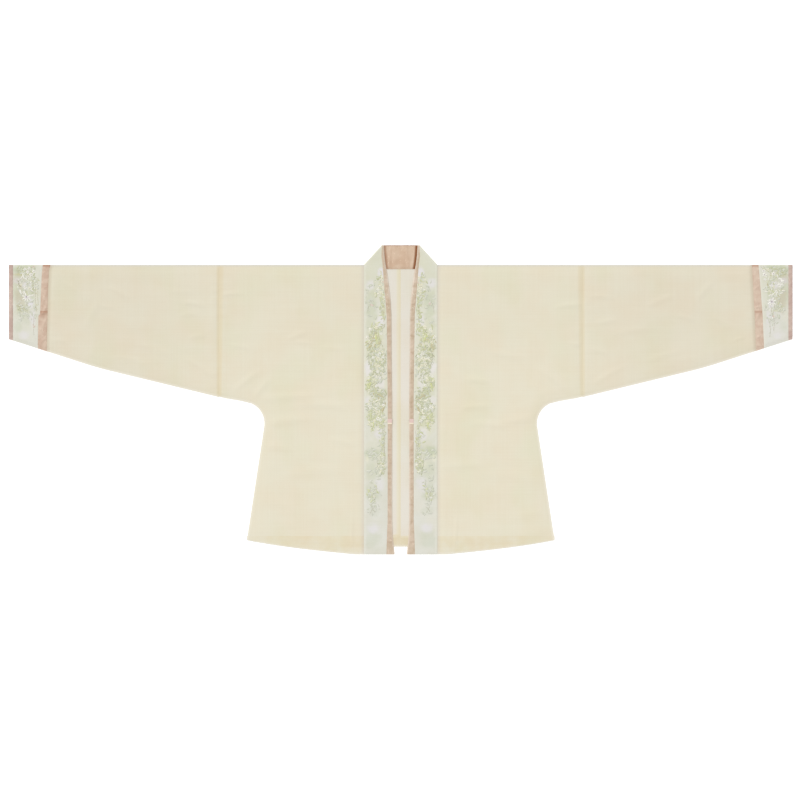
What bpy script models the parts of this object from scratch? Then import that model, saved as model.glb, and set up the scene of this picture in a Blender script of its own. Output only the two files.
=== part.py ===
"""Open-front hanfu robe (short duijin style), laid flat with its sleeves spread.

Metres. +X runs along the sleeves, +Y from hem to collar, +Z up off the surface it lies on.
The origin is the bottom centre of the whole garment. Left is -X and right is +X, as seen from
above with the collar away from the viewer.

The body is two cloth pieces, each running from the front hem over the shoulder fold to the
back hem, joined down the centre back. A sleeve, a rose strip, a printed cuff and a rose wrist
binding follow on each side, each a tube pressed flat with its fold along the top. A printed
band with a rose binding edges both fronts, turns over at the shoulders and stands behind the
neck, where its rose lining shows.

Every piece is an open sheet at the middle of the cloth, given its thickness by Solidify.
A "drop" is a distance below the shoulder line, and a negative drop is above it.
"""

from math import atan2, cos, pi, sin, tan

import bpy

# Cloth and layers
CLOTH = 0.0010  # wall of one ply as built
BAND_CLOTH = 0.0015  # band, binding: folded double and interlined
GAP = 0.0003  # air between pieces, at seams and between layers
BACK_Z = CLOTH / 2
FRONT_Z = CLOTH + GAP + CLOTH / 2
BAND_Z = CLOTH + GAP + BAND_CLOTH / 2
TAB_Z = CLOTH + GAP + BAND_CLOTH + GAP + CLOTH / 2
FOLD_STEPS = 4

# Whole garment
SPAN = 1.780  # wrist to wrist
LENGTH = 0.6575  # shoulder line to front hem
COLLAR_RISE = 0.0443  # shoulder line to the collar's top edge
SHOULDER_Y = (LENGTH - COLLAR_RISE) / 2

# Body
BAND_SEAM = 0.0834  # centre line to the seam between front and band
SLEEVE_SEAM = 0.413
SLEEVE_SEAM_DROP = 0.3007
UNDERARM = (0.303, 0.3194)  # where the underarm and side lines would meet
UNDERARM_RADIUS = 0.050
HEM_HALF = 0.3495
HEM_LIFT = 0.032  # front hem is higher at the side by this
BACK_DROP = 0.6402  # shoulder line to back hem at the centre
HEM_FLAT = 0.3  # share of the half width where the hem runs level
BLEND_DROP = 0.40  # rows bend towards the hem's curve below this
NECK_DROP = 0.0098  # back neckline below the shoulder line
NECK_FLAT = 0.030  # half width of the level part of the back neckline

# Sleeve and cuff, outwards. Each edge is given at the top fold and at the underside
SLEEVE_BEND = (0.690, 0.2335)  # the underside turns a little here
SLEEVE_BEND_RADIUS = 0.8
WRIST_DROP = 0.1689
ROSE_STRIP_EDGE = (0.7955, 0.8040)
CUFF_EDGE = (0.8155, 0.8245)
WRIST_BINDING_EDGE = (0.8810, 0.8810)

# Band and binding, upwards from the front hem
COLLAR_CORNER = 0.0425  # half width of the collar's top edge
BINDING = (  # drop, inner edge, outer edge
    (0.6575, 0.0141, 0.0325),
    (0.6120, 0.0185, 0.0310),
    (0.5800, 0.0198, 0.0296),
    (0.3070, 0.0197, 0.0295),
    (0.2160, 0.0210, 0.0305),
    (0.1140, 0.0216, 0.0319),
    (0.0800, 0.0234, 0.0345),
    (0.0575, 0.0258, 0.0366),
    (0.0234, 0.0302, 0.0392),
    (0.0000, 0.0345, 0.0412),
    (-0.0198, 0.0370, 0.0438),
    (-COLLAR_RISE, 0.0386, 0.0425),
)
LINING_MARGIN = 0.0006  # the neck lining stops this far inside the binding

# Tie tabs sewn across the bindings
TAB_DROP = (0.3500, 0.3620)

# Finish of each cloth: sRGB colour, roughness
GAUZE = ("cream_gauze", (0.90, 0.87, 0.78), 0.75)
PRINTED = ("printed_silk", (0.86, 0.86, 0.80), 0.60)
ROSE = ("rose_silk", (0.82, 0.75, 0.66), 0.55)
TAB = ("tie_ribbon", (0.86, 0.79, 0.73), 0.55)


def linear(value):
    """Linear value of one sRGB channel."""
    return value / 12.92 if value <= 0.04045 else ((value + 0.055) / 1.055) ** 2.4


def material(finish):
    """The Principled material of a cloth, made once."""
    name, colour, roughness = finish
    found = bpy.data.materials.get(name)
    if found:
        return found
    made = bpy.data.materials.new(name)
    made.use_nodes = True
    shader = made.node_tree.nodes["Principled BSDF"]
    shader.inputs["Base Color"].default_value = (*(linear(c) for c in colour), 1.0)
    shader.inputs["Roughness"].default_value = roughness
    shader.inputs["Metallic"].default_value = 0.0
    return made


def between(start, end, share):
    return start + (end - start) * share


def interpolate(rows, at, column):
    """A column of a table, read at a value of the table's first column."""
    for upper, lower in zip(rows, rows[1:]):
        low, high = sorted((upper[0], lower[0]))
        if low <= at <= high:
            return between(upper[column], lower[column], (at - upper[0]) / (lower[0] - upper[0]))
    nearest = min(rows, key=lambda row: abs(row[0] - at))
    return nearest[column]


def rounded_corner(before, corner, after, radius, steps):
    """Points of the arc that rounds a corner of an outline."""
    back = atan2(before[1] - corner[1], before[0] - corner[0])
    ahead = atan2(after[1] - corner[1], after[0] - corner[0])
    half = ((ahead - back + pi) % (2 * pi) - pi) / 2
    reach = radius / tan(abs(half))
    centre_far = radius / sin(abs(half))
    centre = (
        corner[0] + centre_far * cos(back + half),
        corner[1] + centre_far * sin(back + half),
    )
    start = (corner[0] + reach * cos(back), corner[1] + reach * sin(back))
    end = (corner[0] + reach * cos(ahead), corner[1] + reach * sin(ahead))
    first = atan2(start[1] - centre[1], start[0] - centre[0])
    last = atan2(end[1] - centre[1], end[0] - centre[0])
    sweep = (last - first + pi) % (2 * pi) - pi
    return [
        (
            centre[0] + radius * cos(first + sweep * k / steps),
            centre[1] + radius * sin(first + sweep * k / steps),
        )
        for k in range(steps + 1)
    ]


def fold_path(drops):
    """(nominal drop, lies in front, y, z) from the front's last drop over the fold to the back's."""
    radius = (FRONT_Z - BACK_Z) / 2
    fold_y = SHOULDER_Y - radius - CLOTH / 2
    path = [(drop, True, None, FRONT_Z) for drop in reversed(drops)]
    for k in range(1, FOLD_STEPS):
        turn = pi * k / FOLD_STEPS
        path.append((0.0, None, fold_y + radius * sin(turn), BACK_Z + radius * (1 + cos(turn))))
    return fold_y, path + [(drop, False, None, BACK_Z) for drop in drops]


def finish(name, points, cloth, finish_of, side=1):
    """An object from a grid of points, where None leaves a hole. side -1 mirrors it."""
    places, index, faces = [], {}, []
    for r, row in enumerate(points):
        for c, point in enumerate(row):
            if point is not None:
                index[r, c] = len(places)
                places.append((side * point[0], point[1], point[2]))
    for r in range(len(points) - 1):
        for c in range(len(points[0]) - 1):
            corners = [(r, c), (r, c + 1), (r + 1, c + 1), (r + 1, c)]
            if all(corner in index for corner in corners):
                faces.append([index[corner] for corner in corners][::side])
    mesh = bpy.data.meshes.new(name)
    mesh.from_pydata(places, [], faces)
    mesh.materials.append(material(finish_of))
    mesh.shade_smooth()
    mesh.set_sharp_from_angle(angle=0.6)
    made = bpy.data.objects.new(name, mesh)
    garment.objects.link(made)
    wall = made.modifiers.new("Cloth", "SOLIDIFY")
    wall.thickness = cloth
    wall.offset = 0.0
    return made


def side_outline():
    """(half width, drop) down the body's outer edge: sleeve seam, underarm, side seam."""
    seam_end = (SLEEVE_SEAM, SLEEVE_SEAM_DROP)
    hem_corner = (HEM_HALF, LENGTH - HEM_LIFT)
    arc = rounded_corner(seam_end, UNDERARM, hem_corner, UNDERARM_RADIUS, 8)
    return [(SLEEVE_SEAM, 0.0), seam_end, *arc, hem_corner]


def sleeve_outline():
    """(distance from the centre, drop) along the underside, from the sleeve seam to the wrist."""
    start = (SLEEVE_SEAM, SLEEVE_SEAM_DROP)
    wrist = (SPAN / 2, WRIST_DROP)
    arc = rounded_corner(start, SLEEVE_BEND, wrist, SLEEVE_BEND_RADIUS, 4)
    return [start, *arc, wrist]


def hem_share(x):
    return max(0.0, (x / HEM_HALF - HEM_FLAT) / (1 - HEM_FLAT))


def front_hem(x):
    share = hem_share(x)
    return LENGTH - HEM_LIFT * (0.75 * share + 0.25 * share**3)


def back_hem(x):
    lift = BACK_DROP - (LENGTH - HEM_LIFT)
    return BACK_DROP - lift * hem_share(x) ** 1.6


def neckline(x):
    """Drop of the back neckline: level behind the neck, rising to the shoulder at the band seam."""
    share = min(1.0, max(0.0, (x - NECK_FLAT) / (BAND_SEAM - NECK_FLAT)))
    return NECK_DROP * (1 + cos(pi * share)) / 2


def body(name, side):
    """Front and back of one half, in one piece over the shoulder."""
    outline = [(drop, half) for half, drop in side_outline()]
    drops = [0.0, 0.05, 0.11, 0.17, 0.23, 0.28] + [drop for drop, _ in outline[1:-1]]
    drops += [BLEND_DROP, 0.45, 0.51, 0.57, outline[-1][0]]
    back_columns = [GAP / 2, 0.015, NECK_FLAT, 0.045, 0.060, 0.072]
    shares = [0.0, 0.12, 0.28, 0.46, 0.64, 0.82, 1.0]
    fold_y, path = fold_path(drops)
    inner = BAND_SEAM + GAP / 2

    def point(column, drop, in_front, y, z):
        behind_band = column < len(back_columns)
        if behind_band and in_front is not False:
            return None
        if behind_band:
            x = low_x = back_columns[column]
        else:
            share = shares[column - len(back_columns)]
            outer = interpolate(outline, drop, 1)
            x = between(inner, outer - GAP / 2 * (drop <= SLEEVE_SEAM_DROP), share)
            low_x = between(inner, HEM_HALF, share)
        if y is None:
            hem = front_hem(low_x) if in_front else back_hem(low_x)
            share = max(0.0, (drop - BLEND_DROP) / (outline[-1][0] - BLEND_DROP))
            down = between(min(drop, BLEND_DROP), hem, share)
            if behind_band:
                down = max(down, neckline(x) + GAP / 2 + drop * 0.5) if drop < 0.05 else down
            y = min(SHOULDER_Y - down, fold_y)
        return (x, y, z)

    columns = range(len(back_columns) + len(shares))
    grid = [[point(column, *place) for column in columns] for place in path]
    return finish(name, grid, CLOTH, GAUZE, side)


def sleeve_tube(name, side, inner_edge, outer_edge, stations, finish_of):
    """A tube pressed flat, folded along the top, between two edges given at top and underside."""
    underside = sleeve_outline()
    drops = [0.0, 0.25, 0.5, 0.75, 1.0]
    fold_y, path = fold_path(drops)

    def point(station, share, in_front, y, z):
        inner = between(*inner_edge, share) + GAP / 2
        outer = between(*outer_edge, share) - (GAP / 2 if outer_edge[0] < SPAN / 2 else 0)
        x = between(inner, outer, station / stations)
        if y is None:
            y = min(SHOULDER_Y - share * interpolate(underside, x, 1), fold_y)
        return (x, y, z)

    grid = [[point(station, *place) for station in range(stations + 1)] for place in path]
    return finish(name, grid, CLOTH, finish_of, side)


def collar_fold(rise):
    """Half width of the diagonal where the band turns to the back, at a height above the shoulder."""
    return between(BAND_SEAM, COLLAR_CORNER, rise / COLLAR_RISE)


def front_strip(name, side, edges, finish_of):
    """A strip up the front opening: a row of (inner, outer) for each row of the BINDING table."""
    rows = []
    for (drop, *_), (inner, outer) in zip(BINDING, edges):
        y = SHOULDER_Y - drop
        rows.append([(between(inner, outer, share), y, BAND_Z) for share in (0.0, 0.5, 1.0)])
    return finish(name, rows, BAND_CLOTH, finish_of, side)


def binding_edges():
    return [(inner, outer - GAP / 2) for _, inner, outer in BINDING]


def band_edges():
    found = []
    for drop, _, outer in BINDING:
        limit = BAND_SEAM - GAP / 2 if drop >= 0 else collar_fold(-drop)
        found.append((outer + GAP / 2, max(limit, outer + GAP)))
    return found


def collar_back():
    """The band behind the neck, printed side down, from the neck seam to the collar's top edge."""
    rows = []
    for v in (0.0, 0.35, 0.7, 1.0):
        row = []
        for k in range(-8, 9):
            low_x = k / 8 * BAND_SEAM
            low_y = SHOULDER_Y - neckline(abs(low_x)) + GAP / 2
            x = between(low_x, k / 8 * COLLAR_CORNER, v)
            row.append((x, between(low_y, SHOULDER_Y + COLLAR_RISE, v), BACK_Z))
        rows.append(row)
    return finish("collar_back", rows, CLOTH, PRINTED)


def neck_lining():
    """The rose lining on the inside of the standing collar, between the two bindings."""
    rows = []
    for v in (0.0, 0.25, 0.5, 0.75, 1.0):
        drop = between(NECK_DROP, -COLLAR_RISE, v)
        half = interpolate(BINDING, drop, 1) - LINING_MARGIN
        y = SHOULDER_Y - drop
        rows.append([(between(-half, half, k / 8), y, FRONT_Z) for k in range(9)])
    return finish("neck_lining", rows, CLOTH, ROSE)


def tie_tab(name, side):
    """The sewn end of a ribbon tie, lying across the binding."""
    rows = []
    for drop in TAB_DROP:
        inner = interpolate(BINDING, drop, 1)
        outer = interpolate(BINDING, drop, 2)
        rows.append([(x, SHOULDER_Y - drop, TAB_Z) for x in (inner + GAP, outer - GAP)])
    return finish(name, rows, CLOTH, TAB, side)


for old in list(bpy.data.objects):
    bpy.data.objects.remove(old, do_unlink=True)
garment = bpy.data.collections.new("hanfu_robe")
bpy.context.scene.collection.children.link(garment)

seam = (SLEEVE_SEAM, SLEEVE_SEAM)
wrist = (SPAN / 2, SPAN / 2)
for word, hand in (("left", -1), ("right", 1)):
    body(f"body_{word}", hand)
    sleeve_tube(f"sleeve_{word}", hand, seam, ROSE_STRIP_EDGE, 8, GAUZE)
    sleeve_tube(f"cuff_strip_{word}", hand, ROSE_STRIP_EDGE, CUFF_EDGE, 2, ROSE)
    sleeve_tube(f"cuff_{word}", hand, CUFF_EDGE, WRIST_BINDING_EDGE, 3, PRINTED)
    sleeve_tube(f"wrist_binding_{word}", hand, WRIST_BINDING_EDGE, wrist, 1, ROSE)
    front_strip(f"front_band_{word}", hand, band_edges(), PRINTED)
    front_strip(f"front_binding_{word}", hand, binding_edges(), ROSE)
    tie_tab(f"tie_tab_{word}", hand)
collar_back()
neck_lining()
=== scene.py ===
"""Looks of an open-front hanfu robe, laid flat with its sleeves spread, around its CAD frame.

Metres. +X runs along the sleeves, +Y from hem to collar, +Z up. A "drop" is a distance below the
shoulder line. Left is -X and right is +X, as seen from above with the collar away.
"""

from functools import partial
from math import atan2, cos, pi, radians, sin, tan

import bpy
import numpy as np
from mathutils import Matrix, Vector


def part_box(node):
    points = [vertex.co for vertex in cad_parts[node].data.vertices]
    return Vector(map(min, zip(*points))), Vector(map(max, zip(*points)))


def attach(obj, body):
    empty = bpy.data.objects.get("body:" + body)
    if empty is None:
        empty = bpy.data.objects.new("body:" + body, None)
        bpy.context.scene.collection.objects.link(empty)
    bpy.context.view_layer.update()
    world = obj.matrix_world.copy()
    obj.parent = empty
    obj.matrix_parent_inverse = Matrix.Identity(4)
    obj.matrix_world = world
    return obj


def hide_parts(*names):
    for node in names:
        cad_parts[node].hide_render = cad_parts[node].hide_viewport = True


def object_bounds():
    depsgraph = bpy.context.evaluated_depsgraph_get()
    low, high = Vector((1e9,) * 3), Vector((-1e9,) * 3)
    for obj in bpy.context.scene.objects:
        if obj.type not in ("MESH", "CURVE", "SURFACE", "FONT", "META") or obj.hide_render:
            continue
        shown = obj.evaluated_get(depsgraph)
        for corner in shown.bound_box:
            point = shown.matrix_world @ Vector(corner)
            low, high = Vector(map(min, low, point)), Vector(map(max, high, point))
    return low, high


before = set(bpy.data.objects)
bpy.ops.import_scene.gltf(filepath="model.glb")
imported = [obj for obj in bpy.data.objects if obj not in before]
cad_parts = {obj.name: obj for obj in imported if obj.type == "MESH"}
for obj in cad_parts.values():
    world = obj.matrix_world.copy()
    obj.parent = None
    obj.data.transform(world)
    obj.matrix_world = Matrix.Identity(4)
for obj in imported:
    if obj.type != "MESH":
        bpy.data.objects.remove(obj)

cad_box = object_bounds()

# ------------------------------------------------------------------------------------------------
# Body: plain-woven silk gauze, cream, so thin that every further ply shows through as a deeper
# tan. Each half is one piece of cloth from the front hem over the shoulder fold to the back hem,
# with both hems turned up inside. The halves are joined down the centre back.

MM = 0.001  # tables of many small sizes are in millimetres
SOLID_GAP = 0.0003  # between the frame's solids
SEAM_GAP = 0.00006  # between the pieces as sewn
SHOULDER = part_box("sleeve_right")[1].y
LENGTH = SHOULDER - cad_box[0].y
BAND_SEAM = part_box("front_band_right")[1].x + SOLID_GAP / 2
SLEEVE_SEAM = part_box("body_right")[1].x + SOLID_GAP / 2
SLEEVE_SEAM_DROP = 0.3007
UNDERARM, UNDERARM_RADIUS = (0.303, 0.3194), 0.050  # the corner (x, drop) that the side rounds
HEM_HALF, HEM_LIFT, HEM_FLAT = 0.3495, 0.032, 0.3  # the hem is flat over this share, then rises
BACK_DROP = 0.6402  # of the back hem at the centre
NECK_DROP, NECK_FLAT = 0.0098, 0.030  # the back neckline's dip, and half its flat middle
TURN_UP, TURN_UP_AT_SIDE = 0.024, 0.010  # depth of the turned hems
HANDS = (("left", -1), ("right", 1))  # each piece is drawn for the right, and mirrored by -1
GAUZE_WALL = 0.0004
# Heights of the plies' middles: back, its hem turned up on it, the front's turn-up, the front
BACK_Z, BACK_TURN_Z, FRONT_TURN_Z, FRONT_Z = 0.0002, 0.00065, 0.00115, 0.00165
SIDE_Z = 0.00065  # the front comes down on the back along the side seam
LOFT = 0.0009  # the front lies about this much looser away from its seams
SWELL, RIPPLE = 0.070, 0.026  # sizes of its broad and fine waves
# The front ply is held down by each edge as far as the first distance, and lies loose past the
# second
HELD_BY_SIDE, HELD_BY_FOLD, HELD_BY_HEM = (0.003, 0.030), (0.002, 0.025), (0.002, 0.030)
HELD_BY_BAND, HELD_BY_SEAM = (0.001, 0.014), (0.001, 0.012)
SEAM_DIP, SEAM_DIP_WIDTH = 0.00012, 0.0020  # the stitches draw a seam down
BAND_DIP, BAND_DIP_WIDTH = 0.0003, 0.0015  # and the band's seam more
PUCKER, PUCKER_PITCH, PUCKERED = 0.0011, 0.006, (0.006, 0.034)  # a seam's gathers, and their end
PRESSED_DOWN = 0.010  # beside an outer seam the front comes down on the back over this width
SIDE_SEWN = (0.026, 0.042)  # from the hem up, the side seam is open to the first, sewn past the second
EDGE_INSET = 0.0012  # the rows of a face stop this short of its folded edge
ALLOWANCE = (0.0092, 0.0050)  # of the sleeve seam on the body, at the shoulder and underarm
ALLOWANCE_RISE = 0.00018  # it lifts the cloth above it
BACK_ALLOWANCE = 0.0080  # of the centre-back seam
FOLD_TURNS = np.radians([60, 30, 0, -30, -60])  # rows of a fold between its front and its back
BODY_COLUMNS, FRONT_ROWS, BACK_ROWS, BACK_TURN_ROWS = 88, 166, 106, 6
BEHIND_BAND_COLUMNS = 22
CLEAR = 5.0  # a mark that is nowhere near its seam or hem


def linear(code):
    """Linear colour of an sRGB hex value such as "e6e1ca"."""
    channels = [int(code[k : k + 2], 16) / 255 for k in (0, 2, 4)]
    return tuple(c / 12.92 if c <= 0.04045 else ((c + 0.055) / 1.055) ** 2.4 for c in channels)


def ease(value, low, high):
    """0 below low and 1 above high, with a soft step between."""
    share = np.clip((value - low) / (high - low), 0.0, 1.0)
    return share * share * (3 - 2 * share)


def rounded_corner(before, corner, after, radius, steps):
    """Points of the arc that rounds a corner of an outline."""
    back = atan2(before[1] - corner[1], before[0] - corner[0])
    ahead = atan2(after[1] - corner[1], after[0] - corner[0])
    half = ((ahead - back + pi) % (2 * pi) - pi) / 2
    reach, far = radius / tan(abs(half)), radius / sin(abs(half))
    centre = np.array(corner) + far * np.array([cos(back + half), sin(back + half)])
    start = np.array(corner) + reach * np.array([cos(back), sin(back)]) - centre
    end = np.array(corner) + reach * np.array([cos(ahead), sin(ahead)]) - centre
    first, last = atan2(start[1], start[0]), atan2(end[1], end[0])
    turns = first + ((last - first + pi) % (2 * pi) - pi) * np.linspace(0, 1, steps)
    return centre + radius * np.stack([np.cos(turns), np.sin(turns)], axis=1)


SEAM_END = (SLEEVE_SEAM, SLEEVE_SEAM_DROP)
HEM_CORNER = (HEM_HALF, LENGTH - HEM_LIFT)
SIDE_LINE = np.vstack(
    [SEAM_END, rounded_corner(SEAM_END, UNDERARM, HEM_CORNER, UNDERARM_RADIUS, 16), HEM_CORNER]
)


def distance_to(line, x, drop):
    """Distance of every point to a line of (x, drop) points."""
    nearest = np.full(x.shape, CLEAR)
    for (ax, ay), (bx, by) in zip(line, line[1:]):
        long = (bx - ax) ** 2 + (by - ay) ** 2
        share = np.clip(((x - ax) * (bx - ax) + (drop - ay) * (by - ay)) / long, 0, 1)
        gap = np.hypot(x - ax - share * (bx - ax), drop - ay - share * (by - ay))
        nearest = np.minimum(nearest, gap)
    return nearest


def hem_share(x):
    return np.maximum(0.0, (x / HEM_HALF - HEM_FLAT) / (1 - HEM_FLAT))


def front_hem(x):
    share = hem_share(x)
    return LENGTH - HEM_LIFT * (0.75 * share + 0.25 * share**3)


def back_hem(x):
    return BACK_DROP - (BACK_DROP - LENGTH + HEM_LIFT) * hem_share(x) ** 1.6


def front_turn(x):
    """Depth of the front hem's turn-up, which narrows to the side."""
    return TURN_UP + (TURN_UP_AT_SIDE - TURN_UP) * hem_share(x)


def back_turn(x):
    """Depth of the back hem's turn-up, whose raw edge runs straight across."""
    return back_hem(x) - (BACK_DROP - TURN_UP)


def neckline(x):
    share = np.clip((x - NECK_FLAT) / (BAND_SEAM - NECK_FLAT), 0.0, 1.0)
    return NECK_DROP * (1 + np.cos(pi * share)) / 2


def creases(table, x, drop):
    """Sum of soft ridges. The table is in millimetres, and its turns are in degrees."""
    total, x, drop = np.zeros_like(x), x / MM, drop / MM
    for at_x, at_drop, length, width, turn, height in table:
        c, s = cos(radians(turn)), sin(radians(turn))
        along = (x - at_x) * c + (drop - at_drop) * s
        across = (drop - at_drop) * c - (x - at_x) * s - 0.12 * along**2 / length
        total += height * np.exp(-((across / width) ** 2) - (along / (length / 2)) ** 4)
    return total * MM


def cloudy(x, drop, size, seed):
    """Smooth random values from 0 to 1 on a lattice of the given size."""
    table = np.random.default_rng(seed).random((64, 64))
    gx, gy = x / size, drop / size
    ix, iy = np.floor(gx).astype(int), np.floor(gy).astype(int)
    fx, fy = gx - ix, gy - iy
    fx, fy = fx * fx * (3 - 2 * fx), fy * fy * (3 - 2 * fy)

    def corner(a, b):
        return table[(ix + a) % 64, (iy + b) % 64]

    low = corner(0, 0) * (1 - fx) + corner(1, 0) * fx
    high = corner(0, 1) * (1 - fx) + corner(1, 1) * fx
    return low * (1 - fy) + high * fy


def cloth(name, places, wall, marks, keep=None):
    """A sheet of cloth: a grid with each vertex moved to its place, given a wall by Solidify.

    places is (rows, columns, 3), marks holds a value per vertex for each named attribute, and
    keep says which cells of the grid are cloth.
    """
    rows, columns = places.shape[:2]
    bpy.ops.object.select_all(action="DESELECT")
    bpy.ops.mesh.primitive_grid_add(x_subdivisions=columns - 1, y_subdivisions=rows - 1, size=1)
    sheet = bpy.context.object
    sheet.name = sheet.data.name = name
    sheet.data.vertices.foreach_set("co", places.astype(np.float32).ravel())
    sheet.data.uv_layers.remove(sheet.data.uv_layers[0])
    for mark, values in marks.items():
        attribute = sheet.data.attributes.new(mark, "FLOAT", "POINT")
        attribute.data.foreach_set("value", np.broadcast_to(values, (rows, columns)).ravel())
    if keep is not None:
        bpy.ops.object.mode_set(mode="EDIT")
        bpy.ops.mesh.select_all(action="DESELECT")
        bpy.ops.object.mode_set(mode="OBJECT")
        sheet.data.polygons.foreach_set("select", ~keep.ravel())
        bpy.ops.object.mode_set(mode="EDIT")
        bpy.ops.mesh.select_mode(type="FACE")
        bpy.ops.mesh.delete(type="FACE")
        bpy.ops.object.mode_set(mode="OBJECT")
    ply = sheet.modifiers.new("Ply", "SOLIDIFY")
    ply.thickness, ply.offset = wall, 0.0
    bpy.ops.object.modifier_apply(modifier=ply.name)
    bpy.ops.object.shade_smooth_by_angle(angle=radians(50))
    return sheet


def mirrored(places, hand):
    """The same places on the left when hand is -1."""
    return places * np.array([hand, 1, 1])


def add_node(tree, kind, *links, out=0, **settings):
    """Add a shader node with its settings and links, and return one of its outputs.

    A link is an input and what goes in it: another node's output, or a fixed value.
    """
    node = tree.nodes.new("ShaderNode" + kind)
    for name, value in settings.items():
        setattr(node, name, value)
    for socket, source in links:
        if isinstance(source, bpy.types.NodeSocket):
            tree.links.new(source, node.inputs[socket])
        else:
            node.inputs[socket].default_value = source
    return node.outputs[out]


def rgba(code):
    return (*linear(code), 1.0)


def new_material(name, roughness, **constants):
    """A material's tree and its Principled shader, with values that are the same all over."""
    made = bpy.data.materials.new(name)
    made.use_nodes = True
    shader = made.node_tree.nodes["Principled BSDF"]
    shader.inputs["Roughness"].default_value = roughness
    for socket, value in constants.items():
        shader.inputs[socket.replace("_", " ")].default_value = value
    return made, made.node_tree, shader


def patches(tree, per_metre, detail=2.0, stretch=(1, 1, 1)):
    """Cloudy patches over the garment, from 0 to 1."""
    place = add_node(tree, "TexCoord", out="Object")
    place = add_node(tree, "Mapping", ("Vector", place), ("Scale", stretch))
    links = ("Vector", place), ("Scale", per_metre), ("Detail", detail)
    return add_node(tree, "TexNoise", *links, out="Fac")


def weave(tree, pitch, uneven):
    """A plain weave's height, warp along Y and weft along X, and where each is thick.

    uneven is how much the threads' thickness varies, as in hand-reeled silk.
    """
    place = add_node(tree, "TexCoord", out="Object")
    wave = ("Vector", place), ("Scale", 2 * pi / (20 * pitch))
    warp = add_node(tree, "TexWave", *wave, out="Fac", bands_direction="X")
    weft = add_node(tree, "TexWave", *wave, out="Fac", bands_direction="Y")
    warp_slub = patches(tree, 1.0, 1.0, (1 / (2 * pitch), 6, 1))
    weft_slub = patches(tree, 1.0, 1.0, (6, 1 / (2 * pitch), 1))
    threads = add_node(tree, "Math", (0, warp), (1, weft), operation="ADD")
    slubs = add_node(tree, "Math", (0, warp_slub), (1, weft_slub), operation="ADD")
    links = (0, slubs), (1, uneven), (2, threads)
    return add_node(tree, "Math", *links, operation="MULTIPLY_ADD"), warp_slub, weft_slub


def tinted(tree, colour, tints):
    """Tints laid on a colour: value, its start and end, strength at each, hex colour, blend."""
    for value, start, end, strength, end_strength, code, blend in tints:
        span = enumerate((value, start, end, strength, end_strength))
        share = add_node(tree, "MapRange", *span, interpolation_type="SMOOTHSTEP")
        links = (0, share), (6, colour), (7, rgba(code))
        colour = add_node(tree, "Mix", *links, out=2, data_type="RGBA", blend_type=blend)
    return colour


def cover(tree, shader, colour, height, strength, depth=0.0002):
    """Give a shader its colour, and a fine relief of this depth from a height."""
    tree.links.new(colour, shader.inputs["Base Color"])
    links = ("Height", height), ("Strength", strength), ("Distance", depth)
    tree.links.new(add_node(tree, "Bump", *links), shader.inputs["Normal"])


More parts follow.
